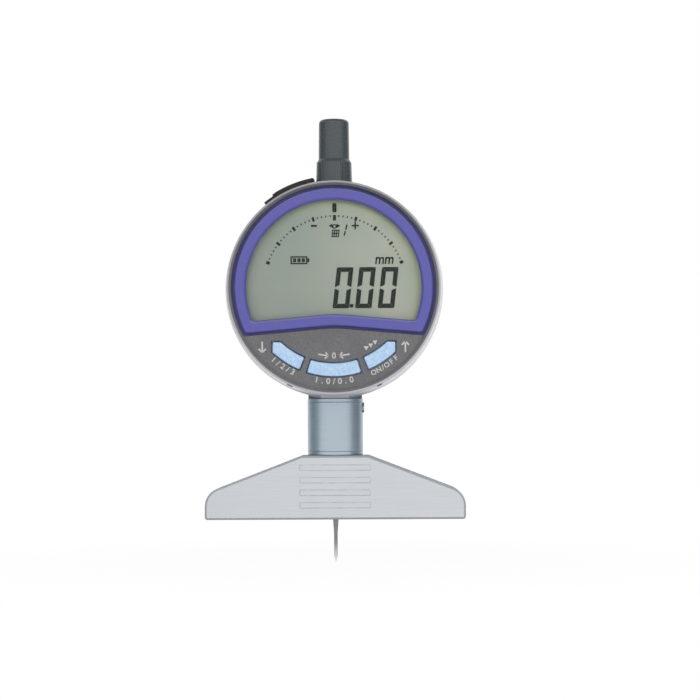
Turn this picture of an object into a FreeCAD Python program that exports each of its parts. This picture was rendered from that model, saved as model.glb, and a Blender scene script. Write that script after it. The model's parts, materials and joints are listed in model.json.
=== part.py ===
import FreeCAD, Part
import math
import os

# Digital depth gauge. Millimetres, +Z up, display towards -Y.
# The origin is the centre of the base's measuring face, on the spindle's axis.

V = FreeCAD.Vector
X_AXIS, Y_AXIS, Z_AXIS = V(1, 0, 0), V(0, 1, 0), V(0, 0, 1)

os.makedirs("parts", exist_ok=True)

# Fits and cuts
located_fit = 0.02
running_fit = 0.03
easy_gap = 0.3
overrun = 1.0
match_gap = 0.002
match_angle = 0.1
parallel_share = 0.999

# Depth base
base_width = 75.0
base_depth = 16.5
base_height = 18.3
base_top_width = 19.2
base_end_height = 7.6
base_corner_radius = 5.5
base_foot_radius = 0.8
base_edge_bevel = 0.55
base_slot_count = 4
base_slot_length = 20.3
base_slot_width = 1.6
base_slot_pitch = 3.6
base_slot_depth = 0.3
base_slot_first_drop = 3.4
needle_hole_diameter = 2.4

# Sleeve and its clamp
sleeve_margin = 0.25
sleeve_length = 16.6
sleeve_spigot_diameter = 12.0
sleeve_spigot_length = 9.0
sleeve_line_depth = 0.15
sleeve_line_width = 0.3
sleeve_line_drop = 1.2
sleeve_edge_bevel = 0.3
clamp_screw_diameter = 3.0
clamp_screw_drop = 2.8
clamp_screw_proud = 0.4
clamp_socket_diameter = 1.7
clamp_socket_depth = 1.3
clamp_socket_sides = 6
clamp_pad_length = 1.2

# Stem and bushes
stem_diameter = 8.0
stem_length = 17.0
stem_bore_diameter = 5.4
stem_flange_diameter = 10.0
stem_flange_thickness = 1.0
lower_bush_length = 8.0
upper_bush_diameter = 6.0
upper_bush_flange_diameter = 7.6
upper_bush_flange = 1.0
bumper_diameter = 7.2
bumper_thickness = 0.8

# Spindle
spindle_diameter = 4.0
spindle_travel = 13.3
spindle_below_stem = 4.0
spindle_above_boss = 0.3
spindle_socket_diameter = 2.5
spindle_socket_depth = 6.0
needle_reach = 12.5
needle_diameter = 1.7
needle_cone_length = 4.4
needle_end_diameter = 1.05
needle_point_length = 1.6
needle_tip_diameter = 0.24
needle_collar_diameter = 3.6
needle_collar_length = 2.0
needle_shank_length = 5.5
stop_collar_diameter = 7.0
stop_collar_height = 3.0
carrier_width = 8.0
carrier_front = 2.8
carrier_back = 3.1
carrier_height = 8.0
carrier_bevel = 0.6
scale_strip_width = 7.6
scale_strip_length = 24.0
scale_strip_rise = 2.7
scale_strip_thickness = 0.8
pin_diameter = 1.6
pin_beyond_plate = 0.4

# Return spring
spring_wire = 0.45
spring_diameter = 5.6
spring_turns = 8
spring_rings = 12
spring_sides = 6
spring_end_gap = 0.1

# Rear body
head_radius = 30.5
body_lip = 0.9
body_wall = 1.8
body_front = 6.7
body_back = 7.0
body_edge_bevel = 0.5
front_wall = 1.5
front_ring_width = 5.6
stem_boss_diameter = 15.6
inner_boss_diameter = 11.0
inner_boss_height = 1.2
top_boss_diameter = 7.8
top_boss_height = 3.0
top_inner_boss_diameter = 9.0
top_inner_boss_height = 0.9
cover_post_diameter = 4.0
cover_post_inset = 1.8
cover_post_count = 4
spigot_thickness = 1.85
spigot_length = 3.6
spigot_groove_depth = 0.9
spigot_groove_width = 1.8
spigot_groove_setback = 2.1
friction_ring_section = 0.7
friction_ring_setback = 0.3

# Rear cover, gasket and screws
cover_thickness = 2.2
cover_bevel = 0.6
gasket_thickness = 0.4
gasket_width = 0.9
cover_screw_diameter = 2.0
cover_screw_head_diameter = 3.8
cover_screw_head_height = 1.0
cover_screw_length = 5.0

# Coin cell and its compartment
cell_diameter = 11.6
cell_height = 5.4
cell_offset = 14.0
cell_play = 0.4
cell_cover_gap = 0.3
holder_wall = 0.9
holder_floor = 0.8
contact_width = 3.0
contact_length = 8.0
contact_thickness = 0.2
contact_finger_share = 0.25
battery_cover_lip = 1.5
battery_cover_flange = 1.2
battery_slot_length = 8.0
battery_slot_width = 1.8
battery_slot_depth = 0.7
battery_slot_angle = 45.0
battery_seal_thickness = 0.4
battery_seal_width = 0.8

# Guide plate and sensor
guide_plate_width = 20.0
guide_plate_overlap = 2.2
guide_plate_thickness = 1.0
small_screw_diameter = 1.6
small_screw_head_diameter = 2.6
small_screw_head_height = 0.7
small_screw_length = 2.2
small_screw_inset = 1.6
sensor_board_left = 13.0
sensor_board_right = 5.4
sensor_board_height = 32.0
sensor_board_thickness = 1.0
sensor_gap = 0.4
sensor_screw_inset = 2.2
sensor_post_diameter = 2.8
sensor_chip_size = 5.0
sensor_chip_height = 0.9
sensor_chip_margin = 1.0

# Data port, upper left of the case
port_angle = 22.0
port_width = 9.0
port_depth = 5.0
port_corner = 1.0
connector_recess = 0.9
connector_length = 4.6
connector_flange_thickness = 1.2
connector_flange_lip = 1.2
connector_socket_width = 7.0
connector_socket_depth = 2.6
connector_socket_height = 2.4
connector_play = 0.1
contact_count = 5
contact_pitch = 1.2
contact_blade = 0.4
contact_rise = 1.5
port_cover_width = 10.0
port_cover_gap = 0.15
port_cover_thickness = 1.4
port_cover_cap_gap = 0.33
port_cover_end_angle = 33.0
port_plug_height = 0.7
port_plug_play = 0.35
port_tab_end_angle = 38.5
port_tab_width = 5.0
port_tab_thickness = 0.7
port_tab_lift = 0.4
port_pin_diameter = 0.8
port_ear_width = 5.6
port_ear_foot = 1.0
port_cover_corner = 2.0
port_tab_lap_angle = 2.0

# Dust cap
cap_top_diameter = 8.7
cap_diameter = 8.95
cap_skirt_top_diameter = 10.15
cap_skirt_diameter = 10.5
cap_skirt_height = 5.6
cap_shoulder = 1.0
cap_foot_gap = 0.2
cap_wall = 1.2
cap_top_radius = 1.2
cap_top_clearance = 0.6
cap_bore_play = 0.5
cap_flute_count = 5
cap_flute_first_angle = -63.0
cap_flute_width = 0.8
cap_flute_depth = 0.5

# Display head
head_gap = 0.3
head_depth = 9.0
head_skirt_wall = 2.2
head_running_gap = 0.08
rim_width = 1.3
rim_height = 0.7
rim_bevel = 0.6
rim_inner_bevel = 0.25
skirt_bevel = 0.3
plate_thickness = 2.0
recess_depth = 1.2
frame_gap = 1.0
frame_gap_below = 0.95
frame_width = 3.2
frame_proud = 0.6
frame_lip = 1.0
frame_drop_share = 0.384
frame_bow_radius = 40.0
frame_slope_angle = 5.1
frame_inner_bevel = 0.7
frame_corner_radius = 0.9
frame_edge_bevel = 0.25
window_rabbet = 0.6
window_play = 0.02
lcd_overlap = 1.9
lcd_thickness = 1.6
ledge_setback = 0.2
holder_play = 0.1
holder_rim = 0.9
holder_ledge = 4.2
holder_ledge_thickness = 1.1
elastomer_length = 36.0
elastomer_height = 1.6
elastomer_rise = 0.5
elastomer_play = 0.1
board_radius_gap = 0.3
board_thickness = 0.8
display_chip_diameter = 9.0
display_chip_height = 1.1
board_boss_diameter = 2.2
board_screw_inset = 1.5
board_screw_angle = 52.1
head_screw_diameter = 1.6
head_screw_angle = 25.0
head_screw_proud = 0.25
head_screw_tip_gap = 0.1

# Buttons
button_margin = 5.2
button_height = 3.6
button_half_angle = 17.5
side_button_start_angle = 23.0
side_button_end_angle = 56.0
side_button_reach_angle = 43.45
side_button_top_angle = 51.95
button_gap = 0.45
button_corner_radius = 0.4
button_edge_bevel = 0.2
button_proud = 0.5
button_flange = 0.45
button_flange_lip = 0.4
button_travel = 0.4
button_post_diameter = 2.4
button_post_length = 0.15
switch_width = 3.2
switch_height = 1.1
switch_plunger_diameter = 1.6
side_button_middle_angle = 36.5

# Places worked out from the sizes above
sleeve_diameter = base_depth - 2 * sleeve_margin
body_radius = head_radius + body_lip
sleeve_top = base_height + sleeve_length
case_z = sleeve_top + body_radius
cavity_radius = body_radius - body_wall
front_opening_radius = cavity_radius - front_ring_width
spindle_radius = spindle_diameter / 2
stem_radius = stem_diameter / 2
stem_foot = sleeve_top - stem_length
stem_seat = case_z - cavity_radius + inner_boss_height
stem_top = stem_seat + stem_flange_thickness
bumper_top = stem_top + bumper_thickness
stop_collar_top = bumper_top + stop_collar_height
top_seat = case_z + cavity_radius - top_inner_boss_height
bush_flange_foot = top_seat - upper_bush_flange
boss_top = case_z + body_radius + top_boss_height
spindle_foot = stem_foot - spindle_below_stem
spindle_top = boss_top + spindle_above_boss
carrier_z = stop_collar_top + scale_strip_rise + scale_strip_length / 2
carrier_top = carrier_z + carrier_height / 2
carrier_foot = carrier_z - carrier_height / 2
cap_foot = case_z + body_radius + cap_foot_gap
cap_bore_top = spindle_top + spindle_travel + cap_top_clearance
cap_top = cap_bore_top + cap_wall

front_wall_back = -body_front + front_wall
plate_back_y = front_wall_back + guide_plate_thickness
cover_face = body_back + cover_thickness
head_back_y = -body_front - head_gap
head_front_y = head_back_y - head_depth
panel_y = head_front_y + rim_height
frame_front_y = panel_y - frame_proud
recess_y = panel_y + recess_depth
plate_y = panel_y + plate_thickness
lcd_back_y = plate_y + lcd_thickness
board_front_y = lcd_back_y + holder_ledge_thickness
board_back_y = board_front_y + board_thickness
spigot_front_y = -body_front - spigot_length
groove_y = spigot_front_y + spigot_groove_setback

skirt_radius = head_radius - head_skirt_wall
spigot_radius = skirt_radius - head_running_gap
spigot_inner_radius = spigot_radius - spigot_thickness
rim_inner_radius = head_radius - rim_width
frame_radius = rim_inner_radius - frame_gap
frame_drop = frame_radius * frame_drop_share
opening_radius = frame_radius - frame_width
opening_drop = frame_drop - frame_width
board_radius = spigot_inner_radius - board_radius_gap
strip_front_y = carrier_back
strip_back_y = strip_front_y + scale_strip_thickness
sensor_front_y = strip_back_y + sensor_gap
sensor_back_y = sensor_front_y + sensor_board_thickness
cell_back_y = body_back - cell_cover_gap
cell_front_y = cell_back_y - cell_height
cell_bore_radius = cell_diameter / 2 + cell_play
holder_front_y = cell_front_y - contact_thickness - holder_floor
post_circle = cavity_radius - cover_post_inset
port_cover_inner = body_radius + port_cover_gap
port_cover_outer = port_cover_inner + port_cover_thickness
hinge_circle = (port_cover_inner + port_cover_outer) / 2
hinge_reach = cap_skirt_diameter / 2 + port_cover_cap_gap + port_cover_thickness / 2
hinge_angle = math.degrees(math.asin(hinge_reach / hinge_circle))
sensor_middle = carrier_z + spindle_travel / 2 - case_z
button_outer = head_radius - button_margin
button_inner = button_outer - button_height
case_centre = V(0, 0, case_z)


# Forms shared by the pieces

def upright(radius, low, high, x=0, y=0):
    """Cylinder along Z from one height to another."""
    return Part.makeCylinder(radius, high - low, V(x, y, low), Z_AXIS)


def along_y(radius, front, back, x=0, z=0):
    """Cylinder along Y, placed by x and z from the case's centre."""
    return Part.makeCylinder(radius, back - front, V(x, front, case_z + z), Y_AXIS)


def block(x_low, x_high, y_low, y_high, z_low, z_high):
    """Box between two corners."""
    return Part.makeBox(x_high - x_low, y_high - y_low, z_high - z_low, V(x_low, y_low, z_low))


def turned(outline):
    """Solid turned about the spindle's axis from (radius, height) points."""
    points = [V(radius, 0, height) for radius, height in outline]
    face = Part.Face(Part.makePolygon(points + points[:1]))
    return face.revolve(V(0, 0, 0), Z_AXIS, 360)


def case_turned(outline):
    """Solid turned about the case's axis from (radius, y) points."""
    points = [V(radius, y, case_z) for radius, y in outline]
    face = Part.Face(Part.makePolygon(points + points[:1]))
    return face.revolve(case_centre, Y_AXIS, 360)


def case_band(inner, outer, front, back, start, end):
    """Part of a ring about the case's axis, its angles counted from the top towards -X."""
    points = [V(0, front, case_z + inner), V(0, back, case_z + inner)]
    points += [V(0, back, case_z + outer), V(0, front, case_z + outer)]
    face = Part.Face(Part.makePolygon(points + points[:1]))
    face.rotate(case_centre, Y_AXIS, -start)
    return face.revolve(case_centre, Y_AXIS, start - end)


def turn_about_case(shape, angle):
    """The shape turned about the case's axis, from the top towards -X."""
    shape.rotate(case_centre, Y_AXIS, -angle)
    return shape


def on_circle(radius, angle):
    """x and z of a point at an angle counted from the bottom of the case towards +X."""
    turn = math.radians(angle)
    return radius * math.sin(turn), -radius * math.cos(turn)


def edges_along(shape, axis):
    """Straight edges of a shape that run along an axis."""
    found = []
    for edge in shape.Edges:
        if isinstance(edge.Curve, Part.Line) and abs(edge.tangentAt(edge.FirstParameter).dot(axis)) > parallel_share:
            found.append(edge)
    return found


def edges_at_y(shape, y):
    """Edges of a shape that lie in one plane across the Y axis."""
    box_ends = [(e, e.BoundBox.YMin, e.BoundBox.YMax) for e in shape.Edges]
    return [e for e, low, high in box_ends if abs(low - y) < match_gap and abs(high - y) < match_gap]


def dee(radius, drop, front, back, corner):
    """Round plate whose lower edge bows up in the middle and slopes straight down to its corners."""
    slope = math.radians(frame_slope_angle)
    fall = math.tan(slope)
    bow_x = frame_bow_radius * math.sin(slope)
    bow_z = -drop - frame_bow_radius * (1 - math.cos(slope))
    peak = bow_z + bow_x * fall
    steep = 1 + fall ** 2
    corner_x = (peak * fall + math.sqrt((peak * fall) ** 2 - steep * (peak ** 2 - radius ** 2))) / steep
    corner_z = peak - corner_x * fall
    left = V(-corner_x, front, case_z + corner_z)
    right = V(corner_x, front, case_z + corner_z)
    bow_left = V(-bow_x, front, case_z + bow_z)
    bow_right = V(bow_x, front, case_z + bow_z)
    crown = Part.Arc(left, V(0, front, case_z + radius), right).toShape()
    bow = Part.Arc(bow_right, V(0, front, case_z - drop), bow_left).toShape()
    sill = [Part.makeLine(right, bow_right), bow, Part.makeLine(bow_left, left)]
    plate = Part.Face(Part.Wire([crown] + sill)).extrude(V(0, back - front, 0))
    ends = [e for e in edges_along(plate, Y_AXIS) if abs(e.BoundBox.Center.x) > corner_x - match_gap]
    return plate.makeFillet(corner, ends)


def small_screw(x, z, y, out):
    """Cheese head screw along Y. Its head sits on the face at y and stands towards out."""
    seat = V(x, y, case_z + z)
    head = Part.makeCylinder(small_screw_head_diameter / 2, small_screw_head_height, seat, Y_AXIS * out)
    shank = Part.makeCylinder(small_screw_diameter / 2, small_screw_length, seat, Y_AXIS * -out)
    return head.fuse(shank).removeSplitter()


def small_screw_hole(x, z, y, out, play):
    """Hole for a small screw's shank, past the face that its head sits on."""
    radius = small_screw_diameter / 2 + play
    start = V(x, y, case_z + z) + Y_AXIS * (out * overrun)
    return Part.makeCylinder(radius, small_screw_length + overrun + easy_gap, start, Y_AXIS * -out)


def group(shapes):
    """Separate solids kept as one piece."""
    return Part.makeCompound(shapes)


# Base and sleeve

def depth_base():
    half = base_width / 2
    outline = [(-half, 0), (half, 0), (half, base_end_height), (base_top_width / 2, base_height)]
    outline += [(-base_top_width / 2, base_height), (-half, base_end_height)]
    points = [V(x, -base_depth / 2, z) for x, z in outline]
    bar = Part.Face(Part.makePolygon(points + points[:1])).extrude(V(0, base_depth, 0))
    feet = [e for e in edges_along(bar, Y_AXIS) if e.BoundBox.ZMax < base_end_height / 2]
    bar = bar.makeFillet(base_foot_radius, feet)
    shoulders = []
    for edge in edges_along(bar, Y_AXIS):
        if abs(edge.BoundBox.ZMax - base_end_height) < base_foot_radius:
            shoulders.append(edge)
    bar = bar.makeFillet(base_corner_radius, shoulders)
    rims = edges_at_y(bar, -base_depth / 2) + edges_at_y(bar, base_depth / 2)
    bar = bar.makeChamfer(base_edge_bevel, rims)
    for index in range(base_slot_count):
        centre = base_height - base_slot_first_drop - index * base_slot_pitch
        low, high = centre - base_slot_width / 2, centre + base_slot_width / 2
        front = -base_depth / 2
        bar = bar.cut(block(-base_slot_length / 2, base_slot_length / 2, front - overrun,
                            front + base_slot_depth, low, high))
    socket_foot = base_height - sleeve_spigot_length - located_fit
    bar = bar.cut(upright(sleeve_spigot_diameter / 2 + located_fit, socket_foot, base_height + overrun))
    return bar.cut(upright(needle_hole_diameter / 2, -overrun, base_height))


def stem_sleeve():
    outer = sleeve_diameter / 2
    bore = stem_radius + located_fit
    spigot = sleeve_spigot_diameter / 2
    low_line = base_height + sleeve_line_drop
    high_line = sleeve_top - sleeve_line_drop
    outline = [(bore, base_height - sleeve_spigot_length), (spigot, base_height - sleeve_spigot_length)]
    outline += [(spigot, base_height), (outer - sleeve_edge_bevel, base_height)]
    outline += [(outer, base_height + sleeve_edge_bevel)]
    for line in (low_line, high_line):
        outline += [(outer, line - sleeve_line_width / 2), (outer - sleeve_line_depth, line)]
        outline += [(outer, line + sleeve_line_width / 2)]
    outline += [(outer, sleeve_top - sleeve_edge_bevel), (outer - sleeve_edge_bevel, sleeve_top)]
    outline += [(bore, sleeve_top)]
    hole = Part.makeCylinder(clamp_screw_diameter / 2 + located_fit, outer + overrun,
                             V(0, 0, sleeve_top - clamp_screw_drop), X_AXIS)
    return turned(outline).cut(hole)


def clamp_start():
    """Distance of the clamp pad's inner end from the spindle's axis."""
    return stem_radius + located_fit


def clamp_pad():
    return Part.makeCylinder(clamp_screw_diameter / 2, clamp_pad_length,
                             V(clamp_start(), 0, sleeve_top - clamp_screw_drop), X_AXIS)


def clamp_screw():
    start = clamp_start() + clamp_pad_length
    end = sleeve_diameter / 2 + clamp_screw_proud
    height = sleeve_top - clamp_screw_drop
    screw = Part.makeCylinder(clamp_screw_diameter / 2, end - start, V(start, 0, height), X_AXIS)
    corners = []
    for index in range(clamp_socket_sides):
        turn = math.radians(360 / clamp_socket_sides * index)
        across = clamp_socket_diameter / 2
        corners.append(V(end - clamp_socket_depth, across * math.cos(turn), height + across * math.sin(turn)))
    socket = Part.Face(Part.makePolygon(corners + corners[:1])).extrude(V(clamp_socket_depth + overrun, 0, 0))
    return screw.cut(socket)


# Stem, bushes and bumper

def stem():
    bore = stem_bore_diameter / 2
    outline = [(bore, stem_foot), (stem_radius, stem_foot), (stem_radius, stem_seat)]
    outline += [(stem_flange_diameter / 2, stem_seat), (stem_flange_diameter / 2, stem_top), (bore, stem_top)]
    return turned(outline)


def lower_bush():
    outer = stem_bore_diameter / 2 - located_fit
    bush = upright(outer, stem_foot, stem_foot + lower_bush_length)
    return bush.cut(upright(spindle_radius + running_fit, stem_foot - overrun, sleeve_top + stem_length))


def upper_bush():
    bore = spindle_radius + running_fit
    outer = upper_bush_diameter / 2
    flange = upper_bush_flange_diameter / 2
    outline = [(bore, bush_flange_foot), (flange, bush_flange_foot), (flange, top_seat)]
    outline += [(outer, top_seat), (outer, boss_top), (bore, boss_top)]
    return turned(outline)


def bumper_ring():
    ring = upright(bumper_diameter / 2, stem_top, bumper_top)
    return ring.cut(upright(spindle_radius + easy_gap, stem_top - overrun, bumper_top + overrun))


# Spindle and what it carries

def spindle():
    rod = upright(spindle_radius, spindle_foot, spindle_top)
    return rod.cut(upright(spindle_socket_diameter / 2, spindle_foot - overrun, spindle_foot + spindle_socket_depth))


def needle_point():
    shank = spindle_socket_diameter / 2 - located_fit
    collar = needle_collar_diameter / 2
    thin = needle_diameter / 2
    end = needle_end_diameter / 2
    tip = needle_tip_diameter / 2
    collar_foot = spindle_foot - needle_collar_length
    outline = [(0, -needle_reach), (tip, -needle_reach + tip), (end, -needle_reach + needle_point_length)]
    outline += [(end, -needle_cone_length), (thin, 0), (thin, collar_foot - needle_diameter)]
    outline += [(collar, collar_foot), (collar, spindle_foot), (shank, spindle_foot)]
    outline += [(shank, spindle_foot + needle_shank_length), (0, spindle_foot + needle_shank_length)]
    return turned(outline)


def stop_collar():
    ring = upright(stop_collar_diameter / 2, bumper_top, stop_collar_top)
    return ring.cut(upright(spindle_radius + located_fit, bumper_top - overrun, stop_collar_top + overrun))


def scale_carrier():
    half = carrier_width / 2
    body = block(-half, half, -carrier_front, carrier_back, carrier_foot, carrier_top)
    body = body.makeChamfer(carrier_bevel, edges_along(body, Z_AXIS))
    body = body.cut(upright(spindle_radius + located_fit, carrier_foot - overrun, carrier_top + overrun))
    pin_bore = Part.makeCylinder(pin_diameter / 2 + located_fit, carrier_front + overrun,
                                 V(0, 0, carrier_z), -Y_AXIS)
    return body.cut(pin_bore)


def scale_strip():
    half = scale_strip_width / 2
    low, high = carrier_z - scale_strip_length / 2, carrier_z + scale_strip_length / 2
    return block(-half, half, strip_front_y, strip_back_y, low, high)


def anti_rotation_pin():
    start = spindle_radius + located_fit
    end = -(front_wall_back - pin_beyond_plate)
    return Part.makeCylinder(pin_diameter / 2, end - start, V(0, -start, carrier_z), -Y_AXIS)


def return_spring():
    """Coil round the spindle, lofted through small rings square to its wire."""
    low = carrier_top + spring_end_gap + spring_wire / 2
    high = bush_flange_foot - spring_end_gap - spring_wire / 2
    steps = spring_turns * spring_rings
    rings = [coil_ring(low, high, step / steps) for step in range(steps + 1)]
    return Part.makeLoft(rings, True, True)


def coil_ring(low, high, share):
    """Ring round the spring's wire, a share of the way up the coil."""
    mean = (spring_diameter - spring_wire) / 2
    turn = 2 * math.pi * spring_turns * share
    centre = V(mean * math.cos(turn), mean * math.sin(turn), low + (high - low) * share)
    out = V(math.cos(turn), math.sin(turn), 0)
    rise = (high - low) / (2 * math.pi * spring_turns)
    along = V(-mean * math.sin(turn), mean * math.cos(turn), rise)
    up = out.cross(along)
    up.normalize()
    corners = []
    for index in range(spring_sides):
        side = 2 * math.pi * index / spring_sides
        corners.append(centre + (out * math.cos(side) + up * math.sin(side)) * (spring_wire / 2))
    return Part.makePolygon(corners + corners[:1])


# Rear body

def rear_body():
    body = case_turned(rear_body_outline())
    body = body.fuse(stem_boss_form()).fuse(top_boss_form())
    for x, z in cover_post_places():
        body = body.fuse(along_y(cover_post_diameter / 2, front_wall_back, body_back, x, z))
    body = body.fuse(hinge_ear())
    body = body.cut(upright(stem_radius + located_fit, stem_foot, stem_seat + overrun))
    body = body.cut(upright(upper_bush_diameter / 2 + located_fit, top_seat - overrun, boss_top + overrun))
    for x, z in cover_post_places():
        body = body.cut(along_y(cover_screw_diameter / 2 + located_fit, body_back - cover_screw_length,
                                body_back + overrun, x, z))
    for x, z in guide_screw_places():
        body = body.cut(small_screw_hole(x, z, plate_back_y, 1, located_fit))
    body = body.cut(port_opening(port_width, port_depth, cavity_radius - overrun, body_radius + overrun))
    body = body.cut(hinge_bore(port_pin_diameter / 2 + located_fit))
    gasket_cut = along_y(cavity_radius + gasket_width + located_fit, body_back - gasket_thickness,
                         body_back + overrun)
    return body.cut(gasket_cut).removeSplitter()


def rear_body_outline():
    """Section of the cup with the ring that the head turns on."""
    groove_inner = spigot_radius - spigot_groove_depth
    groove_front = groove_y - spigot_groove_width / 2
    groove_back = groove_y + spigot_groove_width / 2
    ring_inner = spigot_radius - friction_ring_section + head_running_gap
    ring_front = spigot_front_y + friction_ring_setback
    ring_back = ring_front + friction_ring_section
    outline = [(front_opening_radius, -body_front), (spigot_inner_radius, -body_front)]
    outline += [(spigot_inner_radius, spigot_front_y), (spigot_radius, spigot_front_y)]
    outline += [(spigot_radius, ring_front), (ring_inner, ring_front)]
    outline += [(ring_inner, ring_back), (spigot_radius, ring_back)]
    outline += [(spigot_radius, groove_front), (groove_inner, groove_front)]
    outline += [(groove_inner, groove_back), (spigot_radius, groove_back)]
    outline += [(spigot_radius, -body_front), (body_radius - body_edge_bevel, -body_front)]
    outline += [(body_radius, -body_front + body_edge_bevel), (body_radius, body_back)]
    outline += [(cavity_radius, body_back), (cavity_radius, front_wall_back)]
    outline += [(front_opening_radius, front_wall_back)]
    return outline


def stem_boss_form():
    """Round boss under the case and the seat for the stem's flange inside it."""
    outer = upright(stem_boss_diameter / 2, sleeve_top, case_z)
    outer = outer.cut(along_y(cavity_radius, -body_radius, body_radius))
    inner = upright(inner_boss_diameter / 2, sleeve_top + body_wall / 2, stem_seat)
    depth = block(-body_radius, body_radius, -body_front, body_back, sleeve_top - overrun, case_z)
    return outer.fuse(inner).common(depth)


def top_boss_form():
    """Boss that the dust cap screws on and the seat for the upper bush's flange."""
    outer = upright(top_boss_diameter / 2, case_z + cavity_radius, boss_top)
    inner = upright(top_inner_boss_diameter / 2, top_seat, case_z + cavity_radius + body_wall / 2)
    return outer.fuse(inner)


def cover_post_places():
    """x and z of the rear cover's screws."""
    step = 360 / cover_post_count
    return [on_circle(post_circle, step / 2 + step * index) for index in range(cover_post_count)]


def guide_screw_places():
    """x and z of the guide plate's screws."""
    across = guide_plate_width / 2 - small_screw_inset
    up = front_opening_radius * math.cos(math.asin(across / front_opening_radius)) + small_screw_inset
    return [(sx * across, sz * up) for sx in (-1, 1) for sz in (-1, 1)]


def hinge_place(radius, angle):
    """Point on a circle round the case, its angle counted from the top towards -X."""
    turn = math.radians(angle)
    return V(-radius * math.sin(turn), 0, case_z + radius * math.cos(turn))


def hinge_cylinder(radius, front, back):
    """Cylinder on the port cover's hinge line."""
    place = hinge_place(hinge_circle, hinge_angle)
    return Part.makeCylinder(radius, back - front, V(place.x, front, place.z), Y_AXIS)


def hinge_bore(radius):
    return hinge_cylinder(radius, -port_cover_width, port_cover_width)


def hinge_ear():
    """Ear on the body for the port cover's pin."""
    half = port_ear_width / 2
    knuckle = port_cover_thickness / 2
    web = port_ear_foot / 2
    foot = block(-web, web, -half, half, case_z + body_radius - body_wall / 2, case_z + hinge_circle)
    foot = turn_about_case(foot, hinge_angle)
    return hinge_cylinder(knuckle, -half, half).fuse(foot)


def port_opening(width, depth, low, high):
    """Rounded bar through the case's wall at the data port."""
    bar = block(-width / 2, width / 2, -depth / 2, depth / 2, case_z + low, case_z + high)
    bar = bar.makeFillet(port_corner, edges_along(bar, Z_AXIS))
    return turn_about_case(bar, port_angle)


def friction_ring():
    """Rubber ring that steadies the turning head."""
    ring_front = spigot_front_y + friction_ring_setback
    outer = skirt_radius - running_fit
    inner = spigot_radius - friction_ring_section + head_running_gap + located_fit
    front, back = ring_front + located_fit, ring_front + friction_ring_section - located_fit
    return case_turned([(inner, front), (outer, front), (outer, back), (inner, back)])


# Rear cover and battery

def rear_cover():
    outline = [(0, body_back), (body_radius, body_back), (body_radius, cover_face - cover_bevel)]
    outline += [(body_radius - cover_bevel, cover_face), (0, cover_face)]
    cover = case_turned(outline)
    for x, z in sensor_post_places():
        cover = cover.fuse(along_y(sensor_post_diameter / 2, sensor_back_y, body_back + located_fit, x, z))
    cover = cover.cut(along_y(cell_bore_radius, body_back - overrun, cover_face + overrun, cell_offset))
    flange = cell_bore_radius + battery_cover_lip + located_fit
    cover = cover.cut(along_y(flange, cover_face - battery_cover_flange, cover_face + overrun, cell_offset))
    for x, z in cover_post_places():
        cover = cover.cut(along_y(cover_screw_diameter / 2 + located_fit, body_back - overrun,
                                  cover_face + overrun, x, z))
        cover = cover.cut(screw_cone(x, z, located_fit))
    for x, z in sensor_screw_places():
        cover = cover.cut(small_screw_hole(x, z, sensor_front_y, -1, located_fit))
    return cover.removeSplitter()


def screw_cone(x, z, play):
    """Countersunk head of a rear cover screw, or its seat with play."""
    head = cover_screw_head_diameter / 2 + play
    shank = cover_screw_diameter / 2
    start = V(x, cover_face - cover_screw_head_height, case_z + z)
    return Part.makeCone(shank + play, head, cover_screw_head_height, start, Y_AXIS)


def rear_cover_screws():
    screws = []
    for x, z in cover_post_places():
        foot = body_back - cover_screw_length + overrun
        screw = along_y(cover_screw_diameter / 2, foot, cover_face - cover_screw_head_height / 2, x, z)
        screw = screw.fuse(screw_cone(x, z, 0))
        screws.append(screw.removeSplitter())
    return group(screws)


def cover_gasket():
    ring = along_y(cavity_radius + gasket_width, body_back - gasket_thickness, body_back)
    ring = ring.cut(along_y(cavity_radius, -body_front, body_back + overrun))
    return ring


def battery_holder():
    outer = cell_bore_radius + holder_wall
    cup = along_y(outer, holder_front_y, body_back, cell_offset)
    cup = cup.cut(along_y(cell_bore_radius, holder_front_y + holder_floor, body_back + overrun, cell_offset))
    finger = block(cell_offset - outer - overrun, cell_offset - contact_finger_share * cell_diameter, holder_front_y + holder_floor,
                   body_back + overrun, case_z - contact_width, case_z + contact_width)
    return cup.cut(finger)


def battery_contact():
    """Sprung strip under the cell, its raised middle touching the cell."""
    front = holder_front_y + holder_floor
    low, high = case_z - contact_width / 2, case_z + contact_width / 2
    half = contact_length / 2
    return block(cell_offset - half, cell_offset + half, front, cell_front_y, low, high)


def coin_cell():
    return along_y(cell_diameter / 2, cell_front_y, cell_back_y, cell_offset)


def battery_cover():
    """Screwed cover over the cell, with a coin slot."""
    flange = along_y(cell_bore_radius + battery_cover_lip, cover_face - battery_cover_flange, cover_face, cell_offset)
    plug = along_y(cell_bore_radius - located_fit, body_back, cover_face - battery_cover_flange / 2, cell_offset)
    cover = flange.fuse(plug)
    seal_back = cover_face - battery_cover_flange
    seal_outer = cell_bore_radius + battery_seal_width
    seal = along_y(seal_outer + located_fit, seal_back - overrun, seal_back + battery_seal_thickness, cell_offset)
    seal = seal.cut(along_y(cell_bore_radius - located_fit, body_back - overrun, cover_face, cell_offset))
    cover = cover.cut(seal)
    half_length, half_width = battery_slot_length / 2, battery_slot_width / 2
    slot = block(cell_offset - half_length, cell_offset + half_length, cover_face - battery_slot_depth,
                 cover_face + overrun, case_z - half_width, case_z + half_width)
    slot.rotate(V(cell_offset, 0, case_z), Y_AXIS, battery_slot_angle)
    return cover.cut(slot).removeSplitter()


def battery_seal():
    seal_back = cover_face - battery_cover_flange
    ring = along_y(cell_bore_radius + battery_seal_width, seal_back, seal_back + battery_seal_thickness, cell_offset)
    return ring.cut(along_y(cell_bore_radius, body_back, cover_face, cell_offset))


# Guide plate and sensor

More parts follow.
